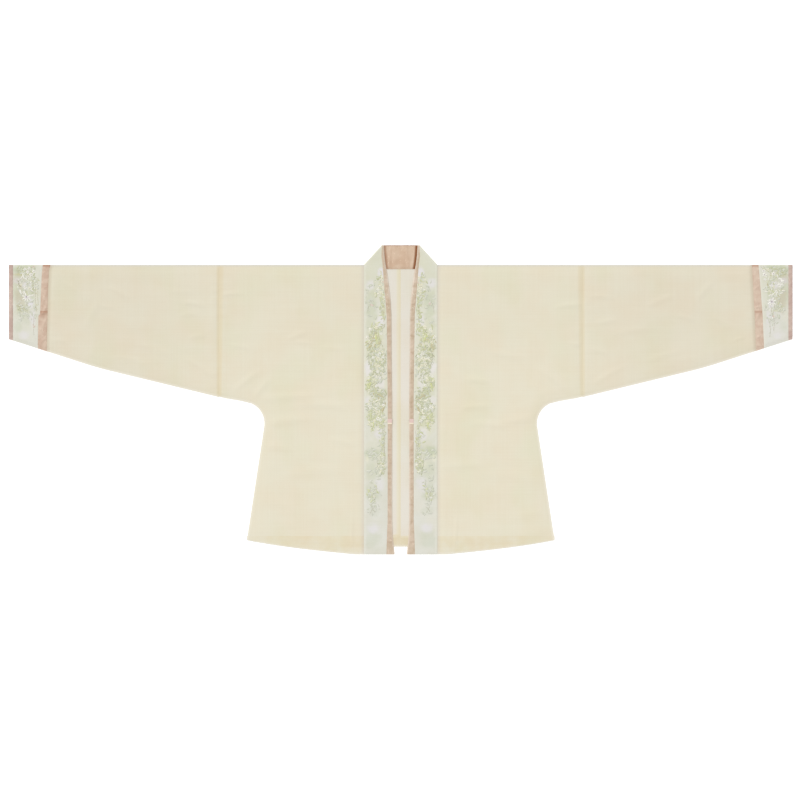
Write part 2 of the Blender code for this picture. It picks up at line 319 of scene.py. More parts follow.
def gauze_material():
    """Silk gauze: matt with a slight sheen. Its colour deepens with each ply that lies together.

    Real threads are 0.3 mm apart. They are drawn at 1.2 mm, the finest that still shows.
    """
    made, tree, shader = new_material(
        "cream_silk_gauze_plain_weave", 0.82, Sheen_Weight=0.12, Sheen_Roughness=0.4
    )
    node = partial(add_node, tree)
    hem, under_hem, join, side, fold, by_band, by_strip = (
        node("Attribute", out="Fac", attribute_type="GEOMETRY", attribute_name=name)
        for name in ("hem", "under_hem", "join", "side", "fold", "by_band", "by_strip")
    )
    place = node("TexCoord", out="Object")
    out = node("Math", (0, node("SeparateXYZ", (0, place))), operation="ABSOLUTE")
    steps = (
        (under_hem, -0.12, 0.05, 0.0, 1.0),
        (under_hem, -0.12, 0.05, 0.6, 0.0),
        (under_hem, 0.94, 1.06, 0.0, 1.0),
        (hem, 0.94, 1.06, 1.0, 0.0),
        (join, 0.8, 1.5, 1.0, 0.0),
        (join, 0.0, 1.0, 1.0, 0.0),
        (out, 0.255, 0.345, 1.0, 0.25),
    )
    covered, bare, past_turn, own_turn, pressed, stitched, slack = (
        node("MapRange", *enumerate(step), interpolation_type="SMOOTHSTEP") for step in steps
    )
    in_turn = node("Math", (0, covered), (1, past_turn), operation="SUBTRACT")
    turned = node("Math", (0, in_turn), (1, own_turn), operation="MAXIMUM")
    # The turn-ups are pressed unevenly, and less towards the sides
    pressing = node("Math", (0, patches(tree, 45.0)), (1, 3.0), (2, -0.5), operation="MULTIPLY_ADD")
    pressing = node("Math", (0, pressing), (1, slack), operation="MULTIPLY")
    turned = node("Math", (0, turned), (1, pressing), operation="MULTIPLY")
    alone = node("Math", (0, own_turn), (1, bare), operation="MULTIPLY")
    plies = 1.0
    for more in (covered, turned, alone, pressed, stitched):
        plies = node("Math", (0, plies), (1, more), operation="ADD")
    stops = {1: "e4dfd4", 2: "e4dec9", 3: "e2d9bf", 4: "e0d6ba", 5: "ddd2b4", 6: "dacdae"}
    most = len(stops)
    shade = node("ValToRGB", (0, node("Math", (0, plies), (1, most), operation="DIVIDE")))
    ramp = shade.node.color_ramp
    while len(ramp.elements) < most:
        ramp.elements.new(0.5)
    for element, (count, code) in zip(ramp.elements, stops.items()):
        element.position, element.color = count / most, rgba(code)
    height, warp_slub, weft_slub = weave(tree, 0.0012, 1.2)
    slubs = node("Math", (0, warp_slub), (1, weft_slub), operation="ADD")
    cloudy_patches = patches(tree, 7.0, 2.0, (1.3, 0.8, 1))
    tints = (
        # the sleeves are a breath greyer than the body, painted shade darkens the top of the garment a
        # little, fading out a third of a metre below the shoulder, and the cloth is faintly cloudy
        (out, 0.30, 0.62, 0.0, 0.5, "f9f7f8", "MULTIPLY"),
        (fold, 0.08, 0.32, 0.3, 0.0, "f6f6f6", "MULTIPLY"),
        (patches(tree, 11.0, 3.0), 0.35, 0.70, 0.0, 0.35, "fff5ee", "MULTIPLY"),
        (cloudy_patches, 0.45, 0.70, 0.0, 0.35, "f6fbee", "MULTIPLY"),
        # painted shade along the shoulder and sleeve-top fold, where the cloth rounds over: a narrow
        # grey line
        (fold, 0.0015, 0.0055, 0.8, 0.0, "d5d2c8", "MIX"),
        # light comes through at the very edges, where the cloth lies on the white table
        (side, 0.0, 0.0065, 0.5, 0.0, "f1ede2", "MIX"),
        (hem, 0.0, 0.26, 0.5, 0.0, "f1ede2", "MIX"),
        # the band stands over the front's edge and shades it
        (by_band, 0.0, 0.010, 1.0, 0.0, "f5f4f9", "MULTIPLY"),
        # painted shade on the end of the sleeve beside the rose strip
        (by_strip, 0.0, 0.010, 1.0, 0.0, "efeae7", "MULTIPLY"),
        (slubs, 0.7, 1.3, 0.0, 0.11, "eee6d6", "MULTIPLY"),
    )
    cover(tree, shader, tinted(tree, shade, tints), height, 0.08, 0.0003)
    return made


gauze = gauze_material()

BODY_CREASES = {  # pressed into the fronts: centre x, drop, length, width, turn, height
    "left": (
        (385, 66, 50, 4, 4, 1.2), (362, 186, 45, 5, -12, 1), (235, 160, 40, 5, 20, 1.1),
        (222, 176, 30, 4, -8, 0.8), (150, 190, 50, 6, -5, 0.7), (262, 300, 130, 9, 4, 1.2),
        (180, 318, 110, 8, -3, 1), (250, 352, 120, 10, 6, 1.2), (292, 412, 80, 8, -8, 1),
        (130, 402, 60, 7, -10, 0.8), (200, 470, 140, 12, 5, 0.7), (350, 262, 70, 6, 38, 1.1),
        (318, 282, 60, 5, 52, 1), (110, 610, 4, 50, 0, 0.8), (285, 540, 120, 10, -14, 0.6),
    ),
    "right": (
        (398, 180, 30, 5, 14, 1), (380, 92, 55, 5, -6, 1.1), (176, 262, 50, 6, 8, 1.2),
        (170, 322, 60, 6, -4, 1.1), (200, 362, 70, 7, 6, 1), (285, 350, 110, 9, -6, 1.1),
        (240, 205, 80, 8, 12, 0.8), (345, 258, 75, 6, 40, 1.1), (312, 290, 60, 5, 55, 0.9),
        (140, 455, 90, 9, -3, 0.8), (250, 480, 120, 12, 7, 0.7), (125, 612, 5, 45, 3, 0.8),
        (300, 565, 100, 10, -10, 0.6),
    ),
}


def looseness(x, drop, seed):
    """Broad soft swell of a ply that lies loose on another, from 0 to 1."""
    broad = cloudy(x, drop * 1.6, SWELL, seed)
    fine = cloudy(x * 0.7, drop * 1.8, RIPPLE, seed + 1)
    return 0.7 * broad + 0.3 * fine


def loose_height(table, x, drop, seed):
    """Height of a loose ply over where it would lie if pressed: its swell and its creases."""
    return LOFT * (0.5 + 1.2 * looseness(x, drop, seed)) + creases(table, x, drop)


def puckers(x, drop, seam_distance, seed):
    """Small gathers that a seam draws in the cloth beside it."""
    gather = cloudy(x * 0.25, drop, PUCKER_PITCH, seed) * cloudy(x, drop, 5 * PUCKER_PITCH, seed + 1)
    return PUCKER * gather * ease(seam_distance, 0.0, 0.004) * (1 - ease(seam_distance, *PUCKERED))


def front_height(word, x, drop):
    """Height of the front ply's middle over a body half."""
    side = distance_to(SIDE_LINE, x, drop)
    sleeve = np.abs(SLEEVE_SEAM - x) + CLEAR * (drop > SLEEVE_SEAM_DROP)
    rise = front_hem(x) - drop
    seed = 11 if word == "left" else 23
    loose = ease(side, *HELD_BY_SIDE) * ease(drop, *HELD_BY_FOLD) * ease(rise, *HELD_BY_HEM)
    loose = loose * ease(x - BAND_SEAM, *HELD_BY_BAND) * ease(sleeve, *HELD_BY_SEAM)
    height = FRONT_Z + loose * loose_height(BODY_CREASES[word], x, drop, seed)
    height += puckers(x, drop, sleeve, seed + 5)
    height += 0.5 * puckers(drop, x, rise, seed + 7) * ease(side, 0.003, 0.010)
    on_allowance = (1 - ease(sleeve, 0.0080, 0.0160)) * ease(drop, 0.001, 0.006)
    height += ALLOWANCE_RISE * on_allowance - SEAM_DIP * (1 - ease(sleeve, 0.0, SEAM_DIP_WIDTH))
    height -= BAND_DIP * (1 - ease(x - BAND_SEAM, 0.0, BAND_DIP_WIDTH))
    down = (1 - ease(side, 0.0, PRESSED_DOWN)) * ease(rise, *SIDE_SEWN)
    return height - (height - SIDE_Z) * down


def hem_fold(low_z, high_z):
    """Rows from inside a turned hem round to the face: (share of the turn-up, rise, height)."""
    radius = (high_z - low_z) / 2
    inside = [(share, 0.0, low_z) for share in np.linspace(1, 0.05, 7)]
    turns = np.radians([-60, -20, 20, 60])
    return inside + [(0.0, abs(radius) * (1 - cos(t)), low_z + radius * (1 + sin(t))) for t in turns]


def body_half(word, hand):
    """One half's cloth, row by row from inside the front's turned hem to inside the back's.

    The columns that the band covers are cloth on the back only.
    """
    inner = np.linspace(SEAM_GAP / 2, BAND_SEAM, BEHIND_BAND_COLUMNS + 1)[:-1]
    shares = np.linspace(0, 1, BODY_COLUMNS)
    fold_radius = (FRONT_Z - BACK_Z) / 2
    fold_y = SHOULDER - fold_radius - GAUZE_WALL / 2

    def across(down):
        """x of every column in a row at this share of the way from shoulder to hem."""
        nominal = down * HEM_CORNER[1]
        edge = np.interp(nominal, [0, *SIDE_LINE[:, 1]], [SLEEVE_SEAM, *SIDE_LINE[:, 0]])
        edge -= SEAM_GAP / 2 if nominal < SLEEVE_SEAM_DROP else 0
        start = BAND_SEAM + SEAM_GAP / 2
        return np.concatenate([inner, start + (edge - start) * shares])

    rows, in_front, hem, under_hem, fold = [], [], [], [], []

    def row(x, drop, z, front, turn_ups, back_turn_ups):
        """A row, with its distance from the hem and from the back's hem, in depths of turn-up."""
        rows.append(np.stack([x, SHOULDER - drop, np.broadcast_to(z, x.shape)], axis=1))
        in_front.append(front)
        hem.append(np.broadcast_to(turn_ups, x.shape))
        under_hem.append(np.broadcast_to(back_turn_ups, x.shape))
        fold.append(np.maximum(drop, 0))

    low_x = across(1.0)
    no_back = -0.1  # below the back's hem, where there is no more of it underneath
    outside = np.where(low_x > BAND_SEAM, CLEAR, no_back)
    for share, rise, z in hem_fold(FRONT_TURN_Z, FRONT_Z):
        rise = rise + share * front_turn(low_x)
        row(low_x, front_hem(low_x) - rise, z, True, rise / front_turn(low_x), no_back)
    for down in np.linspace(1.0, 0.0, FRONT_ROWS):
        x = across(down)
        drop = np.clip(down * front_hem(low_x), EDGE_INSET, front_hem(low_x) - EDGE_INSET)
        z = front_height(word, x, drop)
        under_turn = (back_hem(x) - drop) / back_turn(x)
        row(x, drop, z, True, (front_hem(x) - drop) / front_turn(x), under_turn)
    for turn in FOLD_TURNS:
        y = fold_y + fold_radius * cos(turn)
        z = BACK_Z + fold_radius * (1 + sin(turn))
        row(across(0.0), SHOULDER - y + 0 * low_x, z, True, CLEAR, CLEAR)
    turn_starts = 1 - TURN_UP / (BACK_DROP - NECK_DROP)
    above_turn = np.linspace(0.0, turn_starts, BACK_ROWS)
    on_turn = np.linspace(turn_starts + 0.001, 1.0, BACK_TURN_ROWS)
    for down in [*above_turn, *on_turn]:
        x = across(down)
        top = neckline(x) + SEAM_GAP / 2
        drop = top + down * (back_hem(low_x) - top)
        drop = np.clip(drop, EDGE_INSET, back_hem(low_x) - EDGE_INSET)
        row(x, drop, BACK_Z, False, (back_hem(x) - drop) / back_turn(x), outside)
    for share, rise, z in reversed(hem_fold(BACK_TURN_Z, BACK_Z)):
        rise = rise + share * back_turn(low_x)
        row(low_x, back_hem(low_x) - rise, z, False, rise / back_turn(low_x), outside)

    places = np.stack(rows)
    x, drop = places[:, :, 0], SHOULDER - places[:, :, 1]
    front = np.array(in_front)
    allowance = ALLOWANCE[0] + (ALLOWANCE[1] - ALLOWANCE[0]) * drop / SLEEVE_SEAM_DROP
    join = np.abs(SLEEVE_SEAM - x) / allowance + CLEAR * (drop > SLEEVE_SEAM_DROP)
    if word == "left":  # both allowances of the centre back are pressed to the left
        join[~front] = np.minimum(join, np.abs(x) / BACK_ALLOWANCE)[~front]
    # Seen through the opening, the back's turned hem is as deep in tone as a seam
    in_turn = ~front[:, None] & (x < BAND_SEAM) & (drop > BACK_DROP - TURN_UP)
    marks = {
        "hem": np.stack(hem),
        "under_hem": np.stack(under_hem),
        "fold": np.stack(fold),
        "side": distance_to(SIDE_LINE, x, drop),
        "join": np.where(in_turn, 0.15, join),
        "by_band": np.where(front[:, None], np.abs(x - BAND_SEAM), CLEAR),
        "by_strip": CLEAR,
    }
    cells = np.ones((len(rows) - 1, places.shape[1] - 1), bool)
    cells[: int(front.sum()), : len(inner)] = False
    return cloth(f"gauze_body_{word}", mirrored(places, hand), GAUZE_WALL, marks, cells)


for word, hand in HANDS:
    body = body_half(word, hand)
    body.data.materials.append(gauze)
    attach(body, "root")
    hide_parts(f"body_{word}")

# ------------------------------------------------------------------------------------------------
# Sleeves: the same gauze, one piece each, folded along the top and seamed underneath. They taper
# to the wrist, and the seam to the body is pressed open, so its allowances show as a tan strip.

LAYER_GAP = 0.00005  # between plies that are pressed together
SLEEVE_ALLOWANCE, SLEEVE_ALLOWANCE_RISE = 0.0045, 0.00015  # of the seam to the body
SLEEVE_BEND, SLEEVE_BEND_RADIUS = (0.690, 0.2335), 0.8  # a slight bend in the underside
WRIST = cad_box[1].x
WRIST_DROP = 0.1689
SLEEVE_START = ((0, SLEEVE_SEAM), (1, SLEEVE_SEAM))  # a seam: (share of the way down, x)
STRIP_SEAM = {
    "left": ((0, 0.7958), (0.08, 0.7992), (0.3, 0.8012), (1, 0.8042)),
    "right": ((0, 0.7980), (0.3, 0.8010), (0.6, 0.8045), (1, 0.8072)),
}
WRIST_END = (WRIST, WRIST_DROP)
UNDERSIDE = np.vstack(
    [SEAM_END, rounded_corner(SEAM_END, SLEEVE_BEND, WRIST_END, SLEEVE_BEND_RADIUS, 8), WRIST_END]
)

SLEEVE_CREASES = {  # as on the fronts
    "left": (
        (470, 88, 45, 4, -8, 1.2), (482, 112, 40, 4, 5, 0.9), (462, 162, 35, 5, 10, 0.9),
        (500, 60, 60, 5, -4, 0.6), (455, 232, 70, 6, -32, 0.9), (560, 190, 80, 8, -18, 0.6),
        (640, 62, 50, 5, -28, 1), (665, 96, 30, 4, -14, 0.9), (700, 110, 60, 8, 62, 0.8),
        (772, 172, 24, 3, -18, 0.8), (735, 60, 70, 7, -40, 0.8), (610, 215, 70, 6, -16, 0.6),
    ),
    "right": (
        (458, 72, 50, 4, 6, 1.1), (468, 128, 45, 5, -9, 1), (452, 196, 35, 5, 14, 0.9),
        (520, 150, 80, 8, -10, 0.6), (590, 80, 60, 6, -22, 0.9), (648, 120, 40, 4, 16, 0.9),
        (690, 58, 60, 7, -50, 0.8), (730, 130, 50, 6, 35, 0.8), (768, 168, 26, 3, -14, 0.8),
        (470, 250, 70, 6, -30, 0.9), (600, 205, 80, 6, -15, 0.6),
    ),
}


def underside(x):
    return np.interp(x, UNDERSIDE[:, 0], UNDERSIDE[:, 1])


def seam_at(seam, share):
    return np.interp(share, *zip(*seam))


def flat_tube(name, hand, inner_edge, outer_edge, columns, relief, wall, marks, rows=70):
    """A sleeve piece pressed flat, from the underside seam over the top fold and back.

    relief(x, drop) is the front's height, and marks(x, drop, front) its vertices' attributes.
    """
    back_z = wall / 2
    pressed_z = back_z + wall + LAYER_GAP
    fold_radius = (FRONT_Z - back_z) / 2
    fold_y = SHOULDER - fold_radius - wall / 2
    lines, drops, fronts = [], [], []

    def line(share, front, z=None, y=None):
        inner = seam_at(inner_edge, share) + SEAM_GAP / 2
        outer = seam_at(outer_edge, share)
        outer -= SEAM_GAP / 2 if outer < WRIST else 0
        x = np.linspace(inner, outer, columns)
        drop = np.maximum(share * underside(x), EDGE_INSET) if y is None else SHOULDER - y + 0 * x
        if z is None:
            z = relief(x, drop)
            z = z - (z - pressed_z) * (1 - ease(distance_to(UNDERSIDE, x, drop), 0.0, PRESSED_DOWN))
        lines.append(np.stack([x, SHOULDER - drop, np.broadcast_to(z, x.shape)], axis=1))
        drops.append(drop)
        fronts.append(front)

    for share in np.linspace(1, 0, rows):
        line(share, True)
    for turn in FOLD_TURNS:
        line(0, turn > 0, back_z + fold_radius * (1 + sin(turn)), fold_y + fold_radius * cos(turn))
    for share in np.linspace(0, 1, rows // 2):
        line(share, False, back_z)
    places = np.stack(lines)
    x, drop = places[:, :, 0], np.stack(drops)
    made = cloth(name, mirrored(places, hand), wall, marks(x, drop, np.array(fronts)[:, None]))
    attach(made, "root")
    return made


def sleeve_relief(word):
    seed = 37 if word == "left" else 53

    def relief(x, drop):
        side = distance_to(UNDERSIDE, x, drop)
        sleeve = x - SLEEVE_SEAM
        strip = seam_at(STRIP_SEAM[word], drop / underside(x)) - x
        loose = ease(side, *HELD_BY_SIDE) * ease(drop, *HELD_BY_FOLD)
        loose = loose * ease(sleeve, *HELD_BY_SEAM) * ease(strip, *HELD_BY_SEAM)
        height = FRONT_Z + loose * loose_height(SLEEVE_CREASES[word], x, drop, seed)
        height += puckers(x, drop, sleeve, seed + 5) + puckers(x, drop, strip, seed + 6)
        on_allowance = (1 - ease(sleeve, 0.0040, 0.0110)) * ease(drop, 0.001, 0.006)
        height += SLEEVE_ALLOWANCE_RISE * on_allowance
        return height - SEAM_DIP * (1 - ease(np.minimum(sleeve, strip), 0.0, SEAM_DIP_WIDTH))

    return relief


def sleeve_marks(word):
    def marks(x, drop, front):
        return {
            "hem": CLEAR,
            "under_hem": CLEAR,
            "fold": drop,
            "side": distance_to(UNDERSIDE, x, drop),
            "join": np.abs(SLEEVE_SEAM - x) / SLEEVE_ALLOWANCE,
            "by_band": CLEAR,
            "by_strip": seam_at(STRIP_SEAM[word], drop / underside(x)) - x,
        }

    return marks


for word, hand in HANDS:
    place = f"gauze_sleeve_{word}", hand, SLEEVE_START, STRIP_SEAM[word]
    sleeve = flat_tube(*place, 100, sleeve_relief(word), GAUZE_WALL, sleeve_marks(word))
    sleeve.data.materials.append(gauze)
    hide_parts(f"sleeve_{word}")

# ------------------------------------------------------------------------------------------------
# Rose strips: a narrow bias strip of thin rose silk let in between each sleeve and its cuff. It
# is cut a little full, so it lies in small slanting folds, and is pieced from two lengths.

CUFF_SEAM = {  # the left strip steps out at its join
    "left": ((0, 0.8130), (0.1, 0.8152), (0.585, 0.8192), (0.61, 0.8230), (1, 0.8245)),
    "right": ((0, 0.8128), (0.3, 0.8178), (0.6, 0.8222), (1, 0.8256)),
}
ROSE_WALL = 0.0005
STRIP_PROUD = 0.0002  # it is cut full, so it stands over the sleeve
EDGE_DIP, EDGE_DIP_WIDTH = 0.0006, 0.0015  # a strip's and a cuff's edges roll into their seams
STRIP_JOIN, JOIN_WIDTH = 0.107, 0.0022  # drop of the join where the strip is pieced

STRIP_FOLDS = {  # centre x, drop, length, width, turn, height
    "left": (
        (805, 12, 30, 2.5, -38, 1.2), (810, 36, 26, 3, -50, 0.9), (803, 50, 22, 2.2, 24, 0.8),
        (809, 74, 34, 3.5, 68, 0.9), (806, 98, 30, 2.8, 58, 1.2), (811, 110, 22, 2.2, 4, 1.3),
        (809, 132, 34, 3.4, 62, 1), (813, 152, 24, 2.6, -46, 0.9), (808, 168, 26, 2.6, 40, 1),
    ),
    "right": (
        (806, 10, 28, 2.5, 40, 1.1), (803, 30, 30, 2.8, 62, 0.9), (810, 52, 26, 2.6, -34, 0.9),
        (806, 80, 32, 3.2, 70, 1.1), (812, 96, 22, 2.2, -12, 1.2), (808, 122, 30, 3, -60, 1),
        (813, 142, 28, 2.6, 52, 1), (810, 166, 24, 2.6, -40, 1),
    ),
}


def rose_material(name, light, deep, dark, mottle):
    """Thin rose silk, plain woven and smooth: soft mottled sheen, slubs across.

    Its shade attribute takes the colour towards dark: painted shade under folds and along turned
    edges and seams, and also darker mottling, joins where plies press together and a deeper dye.
    Its lit attribute takes it towards pale: a painted highlight along a fold, and also paler
    patches and a faded tone.
    """
    made, tree, shader = new_material(name, 0.52, Sheen_Weight=0.25, Sheen_Roughness=0.35)
    node = partial(add_node, tree)
    shade, lit = (
        node("Attribute", out="Fac", attribute_type="GEOMETRY", attribute_name=mark)
        for mark in ("shade", "lit")
    )
    height, _, weft_slub = weave(tree, 0.0008, 1.0)
    flecks = patches(tree, 260.0, 2.0, (1, 0.5, 1))
    tints = (
        (patches(tree, mottle, 3.0), 0.32, 0.68, 0.0, 1.0, deep, "MIX"),
        (flecks, 0.60, 0.72, 0.0, 0.35, "f3dcc6", "MIX"),
        (shade, 0.0, 1.0, 0.0, 1.0, dark, "MIX"),
        (lit, 0.0, 0.8, 0.0, 1.0, "e9dccd", "MIX"),
        (weft_slub, 0.5, 0.8, 0.0, 0.25, "e9d7cc", "MULTIPLY"),
    )
    cover(tree, shader, tinted(tree, rgba(light), tints), height, 0.22)
    return made


rose_strip_silk = rose_material("rose_silk_strip_soft", "d6c0ab", "c9ae99", "b08368", 70.0)


def strip_relief(word):
    def relief(x, drop):
        share = drop / underside(x)
        edge = np.minimum(x - seam_at(STRIP_SEAM[word], share), seam_at(CUFF_SEAM[word], share) - x)
        height = creases(STRIP_FOLDS[word], x, drop) * ease(drop, 0.001, 0.006)
        dip = EDGE_DIP * (1 - ease(edge, 0, EDGE_DIP_WIDTH))
        return FRONT_Z + STRIP_PROUD + height * ease(edge, 0.0, 0.006) - dip

    return relief


STRIP_TONE = {"left": (0.15, 0.0), "right": (0.10, 0.16)}  # shade and lit: the right has faded


def strip_marks(word):
    def marks(x, drop, front):
        shade, lit = STRIP_TONE[word]
        below = drop - STRIP_JOIN
        join = 0.7 * np.exp(-((below / JOIN_WIDTH) ** 2)) * front
        fading = 0.3 * ease(below, 0.0, 0.002) * (1 - ease(below, 0.002, 0.017)) * front
        # painted shade under the top fold
        top = 0.7 * (1 - ease(drop, 0.0, 0.008))
        return {"shade": np.maximum(np.maximum(join, fading), top) + shade, "lit": lit}

    return marks


for word, hand in HANDS:
    place = f"rose_strip_{word}", hand, STRIP_SEAM[word], CUFF_SEAM[word]
    strip = flat_tube(*place, 18, strip_relief(word), ROSE_WALL, strip_marks(word), rows=120)
    strip.data.materials.append(rose_strip_silk)
    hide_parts(f"cuff_strip_{word}")

# ------------------------------------------------------------------------------------------------
# Cuffs: pale grey-mint silk satin, printed with watery washes of sage, moss, lilac and cream
# before it was cut. Each is one piece folded at the top and backed, so nothing shows through.

WRIST_SEAM = ((0, 0.8810), (1, 0.8810))
CUFF_WALL, CUFF_PROUD, CUFF_SWELL = 0.0006, 0.0001, 0.0007

WASHES = {"sage": "bfc6ab", "moss": "c4c690", "lilac": "e3dfe2", "cream": "efead2", "dusk": "c2b6a0"}

CUFF_WASHES = {  # x, drop, half width, half length, strength
    "sage": (
        (868, 12, 16, 10, 0.9), (846, 6, 20, 5, 0.7), (872, 60, 8, 20, 0.35),
        (862, 96, 16, 10, 0.6), (868, 140, 10, 14, 0.3), (838, 70, 6, 34, 0.45),
        (852, 125, 18, 12, 0.25), (866, 56, 20, 52, 0.38),
    ),
    "moss": (
        (850, 62, 34, 58, 0.24), (866, 22, 16, 4, 0.8), (846, 20, 10, 4, 0.5),
        (860, 104, 14, 5, 0.5), (836, 50, 4, 30, 0.5), (850, 66, 8, 8, 0.4),
        (850, 50, 50, 100, 0.14),
    ),
    "lilac": (
        (868, 36, 12, 7, 0.8), (850, 46, 12, 10, 0.7), (842, 86, 8, 14, 0.8),
        (836, 120, 8, 20, 0.6), (854, 160, 12, 10, 0.5),
    ),
    "dusk": (
        (864, 76, 12, 34, 0.46), (868, 30, 18, 20, 0.34), (850, 22, 12, 14, 0.2),
    ),
}
CUFF_PALE = (850, 140, 30, 42, 0.28)  # one more lilac wash, on the right cuff


def wash(table, x, drop, seed):
    """Strength of soft painted washes, with a watery edge."""
    wander = 0.5 * (cloudy(x, drop, 0.011, seed) - 0.5) + 0.3 * (cloudy(x, drop, 0.004, seed + 1) - 0.5)
    total, x, drop = np.zeros_like(x), x / MM, drop / MM
    for at_x, at_drop, wide, long, strength in table:
        away = np.hypot((x - at_x) / wide, (drop - at_drop) / long)
        total = np.maximum(total, strength * (1 - ease(away + wander, 0.35, 1.35)))
    return total


def printed_material():
    """Silk satin with a soft shine, screen printed: the washes are in the cloth, not on it.

    A satin's floats run along the strip, 0.1 mm apart. They are drawn at 0.7 mm.
    """
    made, tree, shader = new_material(
        "printed_silk_satin_grey_mint", 0.46, Sheen_Weight=0.15, Sheen_Roughness=0.3
    )
    node = partial(add_node, tree)
    edge, *washes = (
        node("Attribute", out="Fac", attribute_type="GEOMETRY", attribute_name=name)
        for name in ("edge", *WASHES)
    )
    height, _, weft_slub = weave(tree, 0.0007, 0.9)
    tints = (
        (patches(tree, 24.0, 3.0), 0.30, 0.70, 0.0, 1.0, "d9d7c9", "MIX"),
        (patches(tree, 9.0), 0.45, 0.70, 0.0, 0.5, "e2ddcd", "MIX"),
    )
    colour = tinted(tree, rgba("dddcd1"), tints)
    watery = node("Math", (0, patches(tree, 180.0)), (1, 0.5), (2, 0.75), operation="MULTIPLY_ADD")
    for share, code in zip(washes, WASHES.values()):
        wet = node("Math", (0, share), (1, watery), operation="MULTIPLY")
        colour = node("Mix", (0, wet), (6, colour), (7, rgba(code)), out=2, data_type="RGBA")
    tints = (
        # painted highlight near the rolled edge of a band or cuff
        (edge, 0.0015, 0.0045, 0.20, 0.0, "edebdf", "MIX"),
        (weft_slub, 0.45, 0.8, 0.0, 0.12, "e6e8e2", "MULTIPLY"),
    )
    cover(tree, shader, tinted(tree, colour, tints), height, 0.18)
    return made


printed_silk = printed_material()


def cuff_relief(word):
    seed = 71 if word == "left" else 83

    def relief(x, drop):
        share = drop / underside(x)
        edge = np.minimum(x - seam_at(CUFF_SEAM[word], share), WRIST_SEAM[0][1] - x)
        soft = CUFF_SWELL * looseness(x, drop, seed) * ease(drop, 0.002, 0.015)
        dip = EDGE_DIP * (1 - ease(edge, 0, EDGE_DIP_WIDTH))
        return FRONT_Z + CUFF_PROUD + soft * ease(edge, 0.0, 0.008) - dip

    return relief


def printed_marks(x, drop, edge, tables, seed=0, strength=1.0):
    """How strong each wash of the print is, and how near the edge of the piece is."""
    marks = {"edge": edge}
    for k, name in enumerate(WASHES):
        marks[name] = wash(tables.get(name, ()), x, drop, seed + 2 * k) * strength
    return marks


def cuff_marks(word):
    def marks(x, drop, front):
        inner = x - seam_at(CUFF_SEAM[word], drop / underside(x))
        tables = dict(CUFF_WASHES)
        if word == "right":
            tables["lilac"] += (CUFF_PALE,)
        return printed_marks(x, drop, inner, tables, 90, strength=0.35 + 0.65 * front)

    return marks


for word, hand in HANDS:
    place = f"printed_cuff_{word}", hand, CUFF_SEAM[word], WRIST_SEAM
    cuff = flat_tube(*place, 52, cuff_relief(word), CUFF_WALL, cuff_marks(word), rows=130)
    cuff.data.materials.append(printed_silk)
    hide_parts(f"cuff_{word}")

# ------------------------------------------------------------------------------------------------
# Wrist bindings: a bias strip of mauve-rose silk, folded in half round the cuff's raw edge and
# sewn down on both faces.

WRIST_WALL, WRIST_PROUD = 0.0006, 0.0005
WRIST_TWIST, WRIST_TWIST_PITCH = 0.0002, 0.013  # a bias strip twists a little as it is sewn
WRIST_DIP = 0.0008  # its edges roll down
wrist_silk = rose_material("rose_silk_binding_mauve", "cab4a7", "bca196", "94706a", 48.0)


def wrist_relief(x, drop):
    middle = (WRIST_SEAM[0][1] + WRIST) / 2
    away = np.abs(x - middle) / (WRIST - middle)
    twist = WRIST_TWIST * np.sin((drop + 0.6 * x) * 2 * pi / WRIST_TWIST_PITCH)
    return FRONT_Z + WRIST_PROUD + twist * ease(drop, 0.001, 0.01) - WRIST_DIP * ease(away, 0.55, 1.1)


def wrist_marks(x, drop, front):
    # painted shade along the rolled outer edge; the binding is also darker towards the top
    return {"shade": 0.5 * ease(x, WRIST - 0.0018, WRIST) + 0.2 * (1 - ease(drop, 0, 0.03))}


for word, hand in HANDS:
    place = f"wrist_binding_{word}_silk", hand, WRIST_SEAM, ((0, WRIST), (1, WRIST))
    binding = flat_tube(*place, 14, wrist_relief, WRIST_WALL, wrist_marks, rows=150)
    binding.data.materials.append(wrist_silk)
    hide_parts(f"wrist_binding_{word}")

# ------------------------------------------------------------------------------------------------
# Front bands: the same printed satin, folded double over interlining, sewn to both fronts and
# turned over along a slant at the shoulders to stand behind the neck.

COLLAR_RISE = cad_box[1].y - SHOULDER
COLLAR_CORNER = 0.0425  # x of the band's top corner
BINDING = (  # drop, inner edge, outer edge of the binding. The band starts at the outer edge
    (0.6575, 0.0141, 0.0325),
    (0.6120, 0.0185, 0.0310),
    (0.5800, 0.0198, 0.0296),
    (0.3070, 0.0197, 0.0295),
    (0.2160, 0.0210, 0.0305),
    (0.1140, 0.0216, 0.0319),
    (0.0800, 0.0234, 0.0345),
    (0.0575, 0.0258, 0.0366),
    (0.0234, 0.0302, 0.0392),
    (0.0000, 0.0345, 0.0412),
    (-0.0198, 0.0370, 0.0438),
    (-0.0443, 0.0386, 0.0425),
)
BAND_Z = 0.00205
BAND_WALL = 0.0009
BAND_RIPPLE, BAND_RIPPLE_SIZE = 0.0005, 0.020
LEAST_WIDTH = 0.0004  # of a strip, where it runs out at the collar's corner

